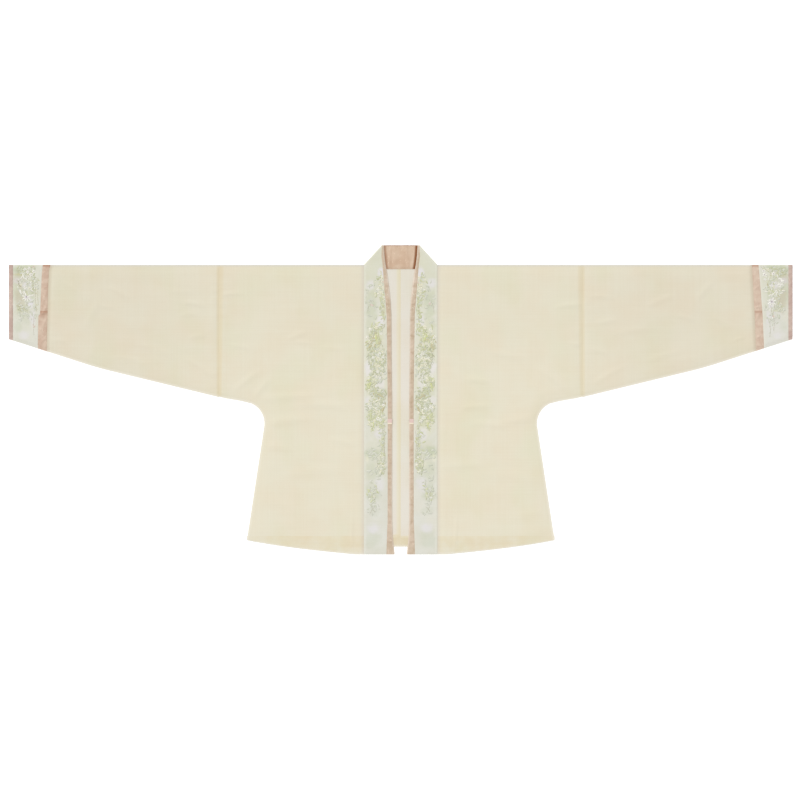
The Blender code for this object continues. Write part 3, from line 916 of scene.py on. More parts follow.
BAND_WASHES = {  # x, drop, half width, half length, strength
    "sage": (
        (66, 95, 14, 40, 0.55), (70, 135, 12, 22, 0.35), (58, 160, 18, 18, 0.35),
        (56, 210, 24, 30, 0.45), (60, 290, 20, 30, 0.4), (56, 345, 22, 28, 0.4),
        (66, 428, 18, 13, 0.75), (62, 470, 20, 20, 0.3), (64, 520, 16, 22, 0.45),
        (60, 560, 14, 12, 0.25), (64, 625, 20, 22, 0.3),
    ),
    "moss": (
        (43, 62, 10, 16, 0.35), (40, 106, 6, 18, 0.45), (52, 165, 12, 12, 0.45),
        (48, 225, 18, 22, 0.35), (70, 275, 10, 10, 0.4), (50, 360, 14, 14, 0.35),
        (42, 400, 4, 30, 0.6), (66, 525, 10, 12, 0.35), (56, 10, 40, 100, 0.24),
        (56, 250, 40, 190, 0.2), (56, 440, 34, 70, 0.16),
    ),
    "lilac": (
        (45, 20, 8, 14, 0.8), (70, 45, 12, 12, 0.6), (46, 130, 8, 16, 0.7), (74, 235, 8, 20, 0.8),
        (46, 270, 10, 20, 0.6), (74, 310, 8, 16, 0.6), (50, 385, 10, 16, 0.6),
        (48, 500, 12, 20, 0.5), (60, 600, 16, 12, 0.6),
    ),
    "cream": (
        (44, 55, 10, 12, 0.35), (68, 150, 10, 8, 0.35), (56, 215, 16, 12, 0.35),
        (54, 335, 12, 16, 0.35), (76, 440, 5, 10, 0.45), (48, 455, 12, 10, 0.3),
        (56, 240, 34, 150, 0.22),
    ),
}


def binding_edge(drop, column):
    """The inner (1) or outer (2) edge of the binding at a drop."""
    rows = np.array(BINDING[::-1])
    return np.interp(drop, rows[:, 0], rows[:, column])


def band_limit(drop):
    """The outer edge of the band: the seam to the front, and above it the slanting fold."""
    rise = np.maximum(-drop, 0) / COLLAR_RISE
    return BAND_SEAM + (COLLAR_CORNER - BAND_SEAM) * rise


def band_edges(inset):
    """The band's edges at a drop, each this far inside its seam."""
    return lambda drop: (binding_edge(drop, 2) + inset, band_limit(drop) - inset)


def front_strip(name, hand, edges, size, height, marks):
    """A strip up the front opening, of size (rows, columns). edges gives its two edges at a drop."""
    rows, columns = size
    drop = np.linspace(LENGTH, -COLLAR_RISE, rows)[:, None] * np.ones(columns)
    low, high = edges(drop)
    high = np.maximum(high, low + LEAST_WIDTH)
    share = np.linspace(0, 1, columns)
    x = low + (high - low) * share
    places = np.stack([x, SHOULDER - drop, height(x, drop, x - low, high - x)], axis=2)
    made = cloth(name, mirrored(places, hand), BAND_WALL, marks(x, drop, high - x))
    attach(made, "root")
    return made


def rounded(distance, reach):
    """How far a folded edge has rounded down, from 1 at the edge to 0 within."""
    inside = np.clip(distance / reach, 0, 1)
    return 1 - np.sqrt(1 - (1 - inside) ** 2)


def band_height(word):
    seed = 101 if word == "left" else 113

    def height(x, drop, from_inner, from_outer):
        ripple = BAND_RIPPLE * (cloudy(x, drop * 0.35, BAND_RIPPLE_SIZE, seed) - 0.5)
        ends = ease(LENGTH - drop, 0.0, 0.02) * ease(drop + COLLAR_RISE, 0.0, 0.01)
        z = BAND_Z + ripple * ends * ease(np.minimum(from_inner, from_outer), 0, 0.006)
        z -= 0.0007 * rounded(from_outer, 0.0020) + 0.0003 * rounded(from_inner, 0.0012)
        return z - 0.0004 * rounded(LENGTH - drop, 0.0015)

    return height


def band_marks(word):
    def marks(x, drop, edge):
        seed, shift = (131, 0.0) if word == "left" else (151, 0.002)
        # the edge mark centres the painted highlight 3 mm inside the band's outer edge
        return printed_marks(x, drop + shift, np.abs(edge - 0.0030) + 0.001, BAND_WASHES, seed)

    return marks


for word, hand in HANDS:
    place = f"printed_band_{word}", hand, band_edges(SEAM_GAP / 2), (360, 40)
    band = front_strip(*place, band_height(word), band_marks(word))
    band.data.materials.append(printed_silk)
    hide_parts(f"front_band_{word}")

# ------------------------------------------------------------------------------------------------
# Front bindings: a rose silk bias strip folded round the band's inner edge, from hem to hem round
# the neck, pressed flat and a little wider at the hem.

BINDING_PROUD = 0.0001
BINDING_TWIST, BINDING_TWIST_PITCH = 0.00012, 0.011
binding_silk = rose_material("rose_silk_binding_warm", "d0bca6", "c3ae94", "a07c60", 62.0)


def binding_edges(drop):
    return binding_edge(drop, 1), binding_edge(drop, 2) - SEAM_GAP / 2


def binding_height(x, drop, from_inner, from_outer):
    twist = BINDING_TWIST * np.sin((drop + 0.5 * x) * 2 * pi / BINDING_TWIST_PITCH)
    z = BAND_Z + BINDING_PROUD + twist - 0.0013 * rounded(from_inner, 0.0034)
    return z - 0.0004 * rounded(from_outer, 0.0010) - 0.0004 * rounded(LENGTH - drop, 0.0015)


def binding_marks(x, drop, edge):
    width = binding_edge(drop, 2) - binding_edge(drop, 1)
    # painted highlight along the inner folded edge
    fold = 1 - ease(width - edge, 0.0010, 0.0034)
    mottle = ease(cloudy(x * 0.5, drop, 0.006, 7), 0.62, 0.95) * 0.35
    # It is paler in patches where it turns at the neck, and a little paler towards the hem
    pale = 0.35 * np.exp(-(((drop - 0.040) / 0.034) ** 2)) * cloudy(x, drop, 0.007, 11)
    paler_to_hem = 0.12 * ease(drop, 0.40, 0.50)
    return {"shade": mottle, "lit": 0.30 * fold + pale + paler_to_hem}


for word, hand in HANDS:
    place = f"front_binding_{word}_silk", hand, binding_edges, (400, 12)
    edging = front_strip(*place, binding_height, binding_marks)
    edging.data.materials.append(binding_silk)
    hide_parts(f"front_binding_{word}")

# ------------------------------------------------------------------------------------------------
# Collar behind the neck: the band's two halves meet at the centre back, printed side down, and
# their rose lining faces up. It stands a little, so soft folds run up it.

COLLAR_WALL = 0.0005
LINING_Z = 0.00165
LINING_MARGIN = 0.0006
LINING_FOLDS = (  # x at the shoulder line, lean, half width, height
    (-0.026, 0.10, 0.0030, 0.0007),
    (-0.012, -0.06, 0.0050, 0.0008),
    (0.006, 0.05, 0.0060, 0.0006),
    (0.017, -0.12, 0.0040, 0.0009),
    (0.028, 0.14, 0.0030, 0.0007),
)

across = np.linspace(-1, 1, 61)[None, :]
up = np.linspace(0, 1, 24)[:, None]
foot = np.abs(across) * BAND_SEAM
foot_y = SHOULDER - neckline(foot) + SEAM_GAP / 2
collar_x = across * (BAND_SEAM + (COLLAR_CORNER - BAND_SEAM) * up)
collar_y = foot_y + (SHOULDER + COLLAR_RISE - foot_y) * up
collar_z = COLLAR_WALL / 2 + 0 * collar_x
collar = cloth(
    "printed_collar_back",
    np.stack([collar_x, collar_y, collar_z], axis=2),
    COLLAR_WALL,
    printed_marks(collar_x, SHOULDER - collar_y, 0.01, {}),
)
collar.data.materials.append(printed_silk)
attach(collar, "root")
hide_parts("collar_back")

lining_silk = rose_material("rose_silk_lining_tan", "d8bfa6", "c9ab90", "8c5428", 30.0)
across = np.linspace(-1, 1, 90)[None, :]
rise = np.linspace(-NECK_DROP, COLLAR_RISE, 60)[:, None]
half = binding_edge(-rise, 1) - LINING_MARGIN
lining_x = across * half
lining_y = SHOULDER + rise + 0 * lining_x
folds = np.zeros_like(lining_x)
for at, lean, width, height in LINING_FOLDS:
    folds += height * np.exp(-(((lining_x - at - lean * rise) / width) ** 2))
from_edge = half - np.abs(lining_x)
from_seam, from_top = rise + NECK_DROP, COLLAR_RISE - rise
lining_z = LINING_Z + folds * ease(from_edge, 0, 0.004) * ease(from_seam, 0, 0.006)
lining_z = lining_z * ease(from_top, -0.004, 0.0015) - 0.0005 * (1 - ease(from_edge, 0, 0.003))
lining_z = np.maximum(lining_z - 0.0009 * (1 - ease(from_seam, 0, 0.006)), 0.0008)
# painted shade: the lining is darkened where it turns up under the bindings, more on the right, along
# its seam and under its top edge
shade_edge = (1 - ease(from_edge, 0.0015, 0.0085)) * np.where(lining_x > 0, 1.0, 0.6)
shade_seam = 0.22 * (1 - ease(from_seam, 0.0010, 0.0032))
shade_top = 0.75 * (1 - ease(from_top, 0.0006, 0.0026))
lining = cloth(
    "neck_lining_silk",
    np.stack([lining_x, lining_y, lining_z], axis=2),
    COLLAR_WALL,
    {"shade": np.maximum(np.maximum(shade_edge, shade_seam), shade_top)},
)
lining.data.materials.append(lining_silk)
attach(lining, "root")
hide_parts("neck_lining")

# ------------------------------------------------------------------------------------------------
# Tie tabs: the stub of a pale pink ribbon sewn across each binding, with a cream line where its
# end is turned under.

TAB_DROP = (0.3500, 0.3620)
TAB_Z = 0.0030
TAB_WALL = 0.0005
TURNED_RIDGE, TURNED_GROOVE = 0.3605, 0.3583  # drops of the turned end's fold and of its edge


def ribbon_material():
    """Polyester satin ribbon: smooth, pale pink, with a cream turned end."""
    made, tree, shader = new_material("satin_ribbon_pale_pink", 0.40, Sheen_Weight=0.2)
    mark = {"attribute_type": "GEOMETRY", "attribute_name": "turned"}
    turned = add_node(tree, "Attribute", out="Fac", **mark)
    rib = patches(tree, 1.0, 1.0, (900, 40, 1))
    tints = (
        (turned, 0.35, 0.65, 0.0, 1.0, "f0e4cc", "MIX"),
        (rib, 0.0, 1.0, 0.0, 0.25, "e8d6cc", "MULTIPLY"),
    )
    cover(tree, shader, tinted(tree, rgba("e3c9c0"), tints), rib, 0.25)
    return made


ribbon = ribbon_material()
for word, hand in HANDS:
    drop = np.linspace(TAB_DROP[1], TAB_DROP[0], 22)[:, None] * np.ones(16)
    low, high = binding_edge(drop, 1) + SEAM_GAP, binding_edge(drop, 2) - SEAM_GAP
    x = low + (high - low) * np.linspace(0, 1, 16)
    end = np.minimum(x - low, high - x)
    z = TAB_Z - 0.0004 * rounded(end, 0.0012)
    z += 0.0003 * np.exp(-(((drop - TURNED_RIDGE) / 0.0012) ** 2))
    z -= 0.0002 * np.exp(-(((drop - TURNED_GROOVE) / 0.0008) ** 2))
    tab = cloth(
        f"tie_tab_{word}_ribbon",
        mirrored(np.stack([x, SHOULDER - drop, z], axis=2), hand),
        TAB_WALL,
        {"turned": ease(drop, 0.3585, 0.3597)},
    )
    tab.data.materials.append(ribbon)
    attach(tab, "root")
    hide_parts(f"tie_tab_{word}")

# ------------------------------------------------------------------------------------------------
# Embroidery on the bands: sprays of small flowers and narrow leaves in satin stitch, worked over
# the printed washes in sage, moss and cream floss. They stand up to 0.3 mm proud.

FLOSS_PITCH = 0.0006  # real stitches lie 0.2 mm apart. They are drawn wider, to show at all
PAD_HEIGHT = 0.00026
TWIG, TWIG_STEP = 0.0008, 0.0045  # a twig's width, and how much of it one pad covers
LEAF_ANGLE = 0.75  # of a leaf to its twig
LEAF_WIDTH, STREWN_LEAF_WIDTH = 0.42, 0.44  # of its length
BARE_BY_BINDING, BARE_BY_SEAM = 0.0006, 0.0010  # the needlework stops this far from each
DYES = {
    "shadow": ("babc9d", "c5c7a9"),
    "sage": ("c3c6a9", "cdd0b4"),
    "leaf": ("c6c9a3", "d3d5b1"),
    "fresh": ("ced2a6", "dadcb5"),
    "bright": ("cfd499", "dbdfa6"),
    "olive": ("c6be98", "d1caa5"),
    "mist": ("d0d3bf", "d8dac8"),
    "faint": ("d8d9ca", "deded1"),
    "cream": ("e6e2c8", "f2efdc"),
    "white": ("e8e5d8", "f8f6ee"),
    "lilac": ("d6d1d4", "e2dee1"),
    "pink": ("dfcdc0", "ead9cc"),
    "plum": ("998692", "b1a1a8"),
    "gold": ("d8cb98", "e4dab0"),
    "twig": ("aea88f", "bcb59b"),
    "cream thread": ("e0d9c3", "eae3d0"),
    "rose thread": ("bfa68f", "d3bfa9"),
    "pink thread": ("d9bdb2", "e8d2c8"),
}


def satin_pad():
    """One satin-stitched leaf, 1 long, 1 wide and 1 high, as a ball drawn out to two points."""
    bpy.ops.object.select_all(action="DESELECT")
    bpy.ops.mesh.primitive_uv_sphere_add(segments=6, ring_count=4, radius=0.5)
    ball = bpy.context.object
    corners = np.array([v.co for v in ball.data.vertices])
    faces = sorted(list(face.vertices) for face in ball.data.polygons)
    bpy.data.objects.remove(ball)
    along, across, high = corners[:, 2], corners[:, 0], -corners[:, 1]
    taper = (1 - 4 * np.minimum(along**2, 0.25)) ** 0.25 * (1 - 0.35 * along)
    return np.stack([across * taper, along, high], axis=1), faces


PAD, PAD_FACES = satin_pad()


def blend_dye(name, shade):
    low, high = (np.array(linear(code)) for code in DYES[name])
    return low + (high - low) * shade


def sewn(name, pads, surface, hand, made_of):
    """One mesh of many pads on a surface. Each pad: x, drop, length, width, turn, dye, shade, lift.

    A turn of 0 points down the garment, and 90 degrees points outwards.
    """
    places, colours, along = [], [], []
    for x, drop, length, width, turn, dye, shade, lift in pads:
        c, s = cos(turn), sin(turn)
        across, down = PAD[:, 0] * width, PAD[:, 1] * length
        at_x, at_drop = x + across * c + down * s, drop - across * s + down * c
        z = surface(at_x, at_drop) + PAD[:, 2] * PAD_HEIGHT * lift
        places.append(np.stack([hand * at_x, SHOULDER - at_drop, z], axis=1))
        tip = np.clip(0.5 + PAD[:, 1], 0, 1)[:, None]
        colours.append(blend_dye(dye, shade) * (0.95 + 0.08 * tip))
        along.append((down + 0.4 * across) / FLOSS_PITCH)
    faces = [[k * len(PAD) + v for v in face] for k in range(len(pads)) for face in PAD_FACES]
    mesh = bpy.data.meshes.new(name)
    mesh.from_pydata(np.concatenate(places).tolist(), [], faces)
    dye = mesh.attributes.new("dye", "FLOAT_COLOR", "POINT")
    colour = np.concatenate(colours)
    dye.data.foreach_set("color", np.hstack([colour, np.ones((len(colour), 1))]).ravel())
    mesh.attributes.new("floss", "FLOAT", "POINT").data.foreach_set("value", np.concatenate(along))
    made = bpy.data.objects.new(name, mesh)
    bpy.context.scene.collection.objects.link(made)
    bpy.ops.object.select_all(action="DESELECT")
    made.select_set(True)
    bpy.context.view_layer.objects.active = made
    bpy.ops.object.mode_set(mode="EDIT")
    bpy.ops.mesh.select_all(action="SELECT")
    bpy.ops.mesh.normals_make_consistent(inside=False)
    bpy.ops.object.mode_set(mode="OBJECT")
    bpy.ops.object.shade_smooth()
    mesh.materials.append(made_of)
    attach(made, "root")
    return made


def floss_material():
    """Rayon embroidery floss: fine parallel threads with a silky glint."""
    made, tree, shader = new_material(
        "rayon_floss_satin_stitch", 0.42, Sheen_Weight=0.2, Sheen_Roughness=0.3
    )
    node = partial(add_node, tree)
    dye = node("Attribute", out="Color", attribute_type="GEOMETRY", attribute_name="dye")
    along = node("Attribute", out="Fac", attribute_type="GEOMETRY", attribute_name="floss")
    along = node("Math", (0, along), (1, 2 * pi), operation="MULTIPLY")
    ridge = node("Math", (0, along), operation="SINE")
    thread = node("Math", (0, ridge), (1, 0.5), (2, 0.5), operation="MULTIPLY_ADD")
    # painted shade in the grooves between the stitches
    groove_shade = node("Math", (0, thread), (1, -0.22), (2, 0.22), operation="MULTIPLY_ADD")
    links = (0, groove_shade), (6, dye), (7, rgba("d8d2c2"))
    colour = node("Mix", *links, out=2, data_type="RGBA", blend_type="MULTIPLY")
    cover(tree, shader, colour, thread, 0.25)
    return made


floss = floss_material()


def leaf(pads, rng, x, drop, length, turn, dyes, slim=LEAF_WIDTH):
    """A narrow leaf in one of the dyes, which are named in one string."""
    width = length * slim * rng.uniform(0.8, 1.2)
    lift = rng.uniform(0.7, 1.2)
    pads.append((x, drop, length, width, turn, rng.choice(dyes.split()), rng.uniform(0, 1), lift))


def blossom(pads, rng, x, drop, radius, petal, heart):
    """A flower seen from above: five overlapping petals round a small heart of three knots."""
    start = rng.uniform(0, 2 * pi)
    for k in range(5):
        turn = start + 2 * pi * k / 5 + rng.uniform(-0.12, 0.12)
        reach = radius * rng.uniform(0.50, 0.60)
        at = (x + reach * sin(turn), drop + reach * cos(turn))
        pads.append((*at, radius * 0.98, radius * 0.80, turn, petal, rng.uniform(0.3, 1), 1.3))
    for k in range(3):
        turn = start + 2 * pi * k / 3
        at = (x + 0.14 * radius * sin(turn), drop + 0.14 * radius * cos(turn))
        pads.append((*at, radius * 0.30, radius * 0.26, turn, heart, rng.uniform(0, 1), 2.2))


def branch(pads, rng, start, end, bow, leaves, size, dyes):
    """A bowed twig with leaves by turns on its two sides. bow is the sag across, to the right."""
    run = end - start
    side = np.array([run[1], -run[0]])
    steps = max(4, int(np.hypot(*run) / TWIG_STEP))
    line = [start + run * t + side * bow * 4 * t * (1 - t) for t in np.linspace(0, 1, steps + 1)]
    for a, b in zip(line, line[1:]):
        middle, reach = (a + b) / 2, b - a
        turn = atan2(reach[0], reach[1])
        pads.append((*middle, np.hypot(*reach) * 1.25, TWIG, turn, "twig", rng.uniform(0, 1), 0.7))
    for k in range(leaves):
        t = (k + rng.uniform(0.2, 0.8)) / leaves
        place = start + run * t + side * bow * 4 * t * (1 - t)
        tangent = run + side * bow * 4 * (1 - 2 * t)
        side_of = 1 if k % 2 else -1
        turn = atan2(tangent[0], tangent[1]) + side_of * LEAF_ANGLE * rng.uniform(0.7, 1.2)
        length = size * rng.uniform(0.75, 1.15) * (1 - 0.35 * t)
        place = place + 0.5 * length * np.array([sin(turn), cos(turn)])
        leaf(pads, rng, *place, length, turn, dyes)


# Millimetres and degrees, with the dyes that each leaf is drawn by lot from
BAND_BRANCHES = (  # x and drop of the foot and of the tip, bow, leaves, leaf length, dyes
    # the spray below the shoulder
    (38, 26, 47, 56, 0.1, 9, 7, "fresh mist cream"),
    (46, 30, 38, 70, -0.12, 10, 6.5, "mist fresh cream"),
    (40, 48, 56, 60, 0.1, 6, 6, "mist mist faint"),
    (36, 58, 46, 78, 0.1, 7, 6, "fresh leaf mist"),
    # the hanging stem
    (38, 74, 38, 128, 0.05, 18, 6.2, "olive leaf fresh"),
    (42, 84, 44, 112, -0.08, 7, 5.5, "leaf mist"),
    (64, 80, 74, 108, 0.1, 6, 7, "mist mist faint"),
    (58, 92, 72, 92, 0.06, 5, 6, "mist pink faint"),
    # the leafy branch that crosses outwards
    (36, 134, 74, 176, 0.08, 20, 8.5, "sage leaf leaf fresh"),
    (38, 144, 56, 150, 0.1, 8, 7, "sage leaf leaf fresh"),
    (52, 150, 56, 174, 0.1, 9, 10, "bright fresh olive"),
    (62, 160, 70, 190, 0.1, 10, 8.5, "olive leaf sage"),
    (48, 166, 40, 186, 0.1, 6, 7, "mist leaf"),
    # the dense cluster of star flowers
    (74, 180, 40, 218, 0.08, 22, 9, "shadow sage leaf sage"),
    (64, 190, 58, 232, 0.1, 18, 9.5, "shadow sage leaf sage"),
    (42, 188, 40, 240, 0.06, 20, 8, "sage leaf leaf fresh"),
    (36, 204, 56, 246, -0.08, 18, 8.5, "shadow sage leaf sage"),
    (74, 200, 52, 252, 0.12, 18, 8, "shadow sage mist"),
    (48, 230, 40, 262, 0.1, 12, 8, "leaf sage mist"),
    (56, 236, 66, 262, 0.08, 12, 7.5, "fresh leaf sage"),
    # the outer leaves and the long slanting ones
    (62, 252, 72, 284, 0.1, 14, 9, "bright leaf shadow"),
    (58, 262, 54, 290, 0.08, 12, 8, "fresh sage leaf"),
    (64, 280, 36, 312, 0.06, 14, 12, "sage leaf olive"),
    (56, 276, 34, 300, 0.1, 10, 10, "leaf shadow"),
    (70, 286, 50, 306, -0.1, 9, 9, "sage mist"),
    # the third cluster
    (40, 306, 62, 344, -0.1, 16, 8, "mist sage leaf"),
    (60, 312, 74, 332, 0.12, 9, 7.5, "shadow mist sage"),
    (36, 318, 48, 350, 0.12, 14, 8.5, "leaf mist fresh"),
    (68, 326, 62, 372, 0.08, 18, 8.5, "sage leaf leaf fresh"),
    (56, 340, 64, 376, 0.1, 14, 8.5, "fresh bright leaf"),
    (48, 346, 40, 366, 0.1, 8, 7, "leaf mist"),
    # the hanging strands
    (38, 362, 37, 434, 0.03, 22, 5.5, "fresh leaf mist"),
    (41, 370, 42, 426, -0.03, 12, 4.8, "mist fresh"),
    (35, 378, 34, 440, 0.03, 12, 4.5, "leaf faint"),
    # small speckled cluster
    (36, 432, 48, 468, -0.1, 12, 5, "sage leaf mist"),
    (46, 430, 36, 474, 0.08, 12, 5, "leaf mist sage"),
    (52, 438, 44, 476, 0.1, 8, 4.5, "mist mist faint"),
    # faded cluster
    (52, 508, 72, 532, 0.1, 12, 6.5, "mist fresh mist"),
    (70, 504, 58, 534, 0.1, 12, 6.5, "mist faint leaf"),
    (62, 512, 64, 538, -0.1, 8, 5.5, "mist mist faint"),
    (56, 548, 68, 566, 0.1, 8, 5.5, "faint"),
    (66, 544, 58, 562, 0.1, 6, 5, "faint mist"),
)
BAND_FLOWERS = (  # x, drop, radius, petals' dye, heart's dye
    (42, 30, 4, "cream", "gold"), (38, 40, 3.4, "pink", "gold"), (46.5, 44, 3.8, "cream", "gold"),
    (40, 52, 3.6, "cream", "pink"), (52, 58, 3.2, "white", "gold"), (44, 64, 3.6, "cream", "gold"),
    (39, 72, 3, "white", "fresh"), (66, 90, 3, "pink", "lilac"), (40, 100, 2.6, "cream", "gold"),
    (56, 144, 4.8, "cream", "gold"), (69, 148, 4.2, "white", "mist"),
    (76, 166, 4.4, "white", "gold"), (72, 175, 4.6, "cream", "olive"),
    (44, 156, 3.2, "white", "leaf"), (48, 202, 4.8, "white", "olive"),
    (42, 196, 3.8, "cream", "gold"), (52, 213, 5.2, "cream", "olive"),
    (44, 216, 4.4, "cream", "gold"), (39, 208, 3.6, "white", "fresh"),
    (56, 227, 5, "cream", "leaf"), (49, 230, 4.6, "cream", "gold"), (62, 212, 4, "white", "mist"),
    (52, 242, 4.2, "white", "leaf"), (42, 238, 3.8, "cream", "sage"),
    (61, 262, 4.2, "cream", "bright"), (72, 256, 3.4, "white", "mist"),
    (56, 274, 4, "white", "sage"), (48, 286, 3.4, "cream", "leaf"), (70, 323, 5.2, "white", "leaf"),
    (40, 318, 4.2, "white", "gold"), (56, 328, 3.6, "white", "sage"),
    (53, 348, 5.2, "white", "leaf"), (46, 354, 4.6, "white", "leaf"), (60, 356, 4, "cream", "gold"),
    (66, 364, 4, "cream", "gold"), (39, 436, 2.6, "white", "gold"), (45, 448, 2.4, "cream", "sage"),
    (38, 458, 2.4, "cream", "gold"), (44, 466, 2.2, "white", "sage"),
    (66, 516, 3, "faint", "fresh"), (60, 526, 2.8, "cream", "mist"),
    (70, 530, 2.8, "white", "mist"),
)
BAND_DRIFTS = (  # ground of small scattered leaves: x, drop, half width, half length, leaves, dyes
    (46, 52, 15, 38, 120, "mist fresh cream leaf faint"),
    (66, 85, 14, 50, 48, "mist faint faint"),
    (41, 100, 7, 36, 72, "leaf mist fresh"),
    (52, 148, 24, 18, 88, "leaf mist fresh cream"),
    (62, 178, 18, 22, 96, "sage fresh mist olive"),
    (50, 216, 22, 34, 264, "sage mist cream leaf faint"),
    (52, 252, 20, 16, 96, "sage mist faint cream"),
    (66, 272, 14, 18, 88, "fresh leaf cream sage"),
    (50, 292, 20, 16, 80, "mist leaf sage faint"),
    (54, 322, 24, 18, 136, "mist faint cream sage leaf"),
    (54, 352, 22, 22, 160, "leaf mist cream fresh"),
    (44, 398, 10, 36, 56, "mist faint fresh"),
    (66, 430, 14, 14, 40, "mist faint"),
    (42, 452, 9, 26, 88, "mist sage cream leaf"),
    (58, 470, 18, 30, 40, "faint faint mist"),
    (62, 520, 16, 22, 80, "mist faint faint fresh"),
    (60, 556, 14, 16, 30, "faint faint mist"),
)
BAND_BROAD = (  # broad leaves: x, drop, length, width, turn in degrees, dye
    (56, 164, 21, 7, -12, "bright"), (52, 170, 18, 6, 10, "fresh"), (72, 186, 16, 6, 35, "olive"),
    (64, 190, 18, 5, -30, "leaf"), (70, 274, 15, 5.5, 15, "bright"), (55, 293, 30, 5, -50, "leaf"),
    (47, 299, 26, 4.5, -56, "olive"), (60, 285, 20, 4.5, -44, "sage"),
    (41, 328, 18, 6.5, 25, "olive"), (46, 336, 16, 5.5, -15, "leaf"), (68, 344, 24, 5, 6, "fresh"),
    (62, 360, 16, 6, -10, "bright"),
)


def drift(pads, rng, x, drop, wide, long, count, dyes):
    """Small leaves strewn over an oval, neighbours leaning alike, with gaps between the sprays."""
    lean, gaps = rng.integers(1, 1000, 2)
    for _ in range(count):
        turn, reach = rng.uniform(0, 2 * pi), np.sqrt(rng.uniform(0, 1))
        at = np.array([[x + wide * reach * cos(turn), drop + long * reach * sin(turn)]]).T * MM
        if cloudy(at[0], at[1], 0.009, gaps)[0] < 0.40:
            continue
        tilt = 2 * pi * cloudy(at[0], at[1], 0.016, lean)[0] + rng.uniform(-0.5, 0.5)
        length = rng.uniform(0.0055, 0.0105)
        leaf(pads, rng, at[0, 0], at[1, 0], length, tilt, dyes, STREWN_LEAF_WIDTH)


def on_band(word):
    """Height of a band's face at any x and drop."""
    level = band_height(word)

    def face(x, drop):
        return level(x, drop, x - binding_edge(drop, 2), band_limit(drop) - x) + BAND_WALL / 2

    return face


for word, hand, seed in (("left", -1, 5), ("right", 1, 9)):
    rng = np.random.default_rng(seed)
    pads = []
    for row in BAND_DRIFTS:
        drift(pads, rng, *row)
    for *sizes, turn, dye in BAND_BROAD:
        x, drop, length, width = np.array(sizes) * MM
        turn = radians(turn + rng.uniform(-10, 10))
        pads.append((x, drop + rng.uniform(-0.003, 0.003), length, width, turn, dye, 0.4, 1.2))
    for *ends, bow, leaves, size, dyes in BAND_BRANCHES:
        ends = np.array(ends) * MM + rng.uniform(-0.0015, 0.0015, 4)
        branch(pads, rng, ends[:2], ends[2:], bow, leaves, size * MM, dyes)
    for *sizes, petal, heart in BAND_FLOWERS:
        x, drop, radius = np.array(sizes) * MM
        x, drop = x + rng.uniform(-0.001, 0.001), drop + rng.uniform(-0.002, 0.002)
        blossom(pads, rng, x, drop, radius, petal, heart)
    kept = []
    for pad in pads:
        x, drop, length, _, turn = pad[:5]
        reach = length / 2 * abs(sin(turn))
        inner, outer = binding_edge(drop, 2) + BARE_BY_BINDING, BAND_SEAM - BARE_BY_SEAM
        if inner < x - reach and x + reach < outer:
            kept.append(pad)
    sewn(f"embroidery_band_{word}", kept, on_band(word), hand, floss)

# ------------------------------------------------------------------------------------------------
# Embroidery on the cuffs: white blossoms with plum hearts on slanting twigs at the top, a pale
# lily below them with long thin stems, and strands hanging by the rose strip.

CUFF_BRANCHES = {  # tables as for the bands
    "left": (
        (828, 30, 868, 3, 0.08, 12, 7, "mist sage leaf"),
        (846, 16, 872, 14, 0.05, 8, 7, "leaf sage fresh"),
        (842, 22, 856, 40, -0.08, 8, 5.5, "faint mist white"),
        (872, 34, 861, 50, 0.04, 4, 6, "twig mist"),
        (858, 36, 873, 36, 0.05, 4, 5, "mist twig"),
        (862, 38, 868, 52, 0.05, 4, 5, "cream twig"),
        (834, 26, 832, 66, 0.04, 9, 6, "sage leaf mist"),
        (838, 28, 837, 68, -0.03, 8, 5.5, "fresh mist"),
        (828, 34, 827, 106, 0.03, 16, 5.5, "olive fresh cream"),
        (824, 30, 823, 92, 0.02, 10, 5, "cream fresh"),
        (844, 40, 852, 62, 0.1, 8, 6.5, "white leaf mist"),
        (850, 78, 846, 124, 0.02, 2, 6, "mist"),
        (846, 80, 852, 112, 0.04, 2, 6, "faint sage"),
        (874, 92, 854, 98, 0.08, 8, 7, "sage olive leaf"),
        (872, 100, 856, 106, 0.05, 7, 6, "leaf sage"),
        (832, 112, 833, 160, 0.03, 8, 5, "faint pink white"),
    ),
    "right": (
        (818, 4, 839, 66, 0.1, 12, 6, "cream fresh white"),
        (824, 4, 848, 22, -0.1, 8, 6, "cream fresh leaf"),
        (838, 6, 836, 46, 0.06, 9, 6, "fresh cream mist"),
        (848, 12, 872, 10, 0.05, 9, 7, "sage leaf mist"),
        (852, 16, 874, 20, 0.05, 7, 6, "leaf olive"),
        (846, 30, 842, 66, 0.08, 9, 6.5, "leaf fresh bright"),
        (832, 40, 836, 62, 0.1, 6, 6, "leaf olive"),
        (860, 38, 866, 54, 0.05, 5, 7, "white mist"),
        (866, 54, 854, 76, 0.1, 7, 6, "mist fresh"),
        (842, 74, 848, 122, -0.08, 5, 9, "white faint"),
        (848, 76, 843, 118, 0.08, 5, 8.5, "white faint lilac"),
        (860, 82, 864, 108, 0.05, 8, 7, "leaf cream mist"),
        (846, 112, 847, 150, 0.05, 6, 5.5, "pink faint"),
        (834, 120, 838, 164, 0.08, 6, 6, "faint mist"),
    ),
}
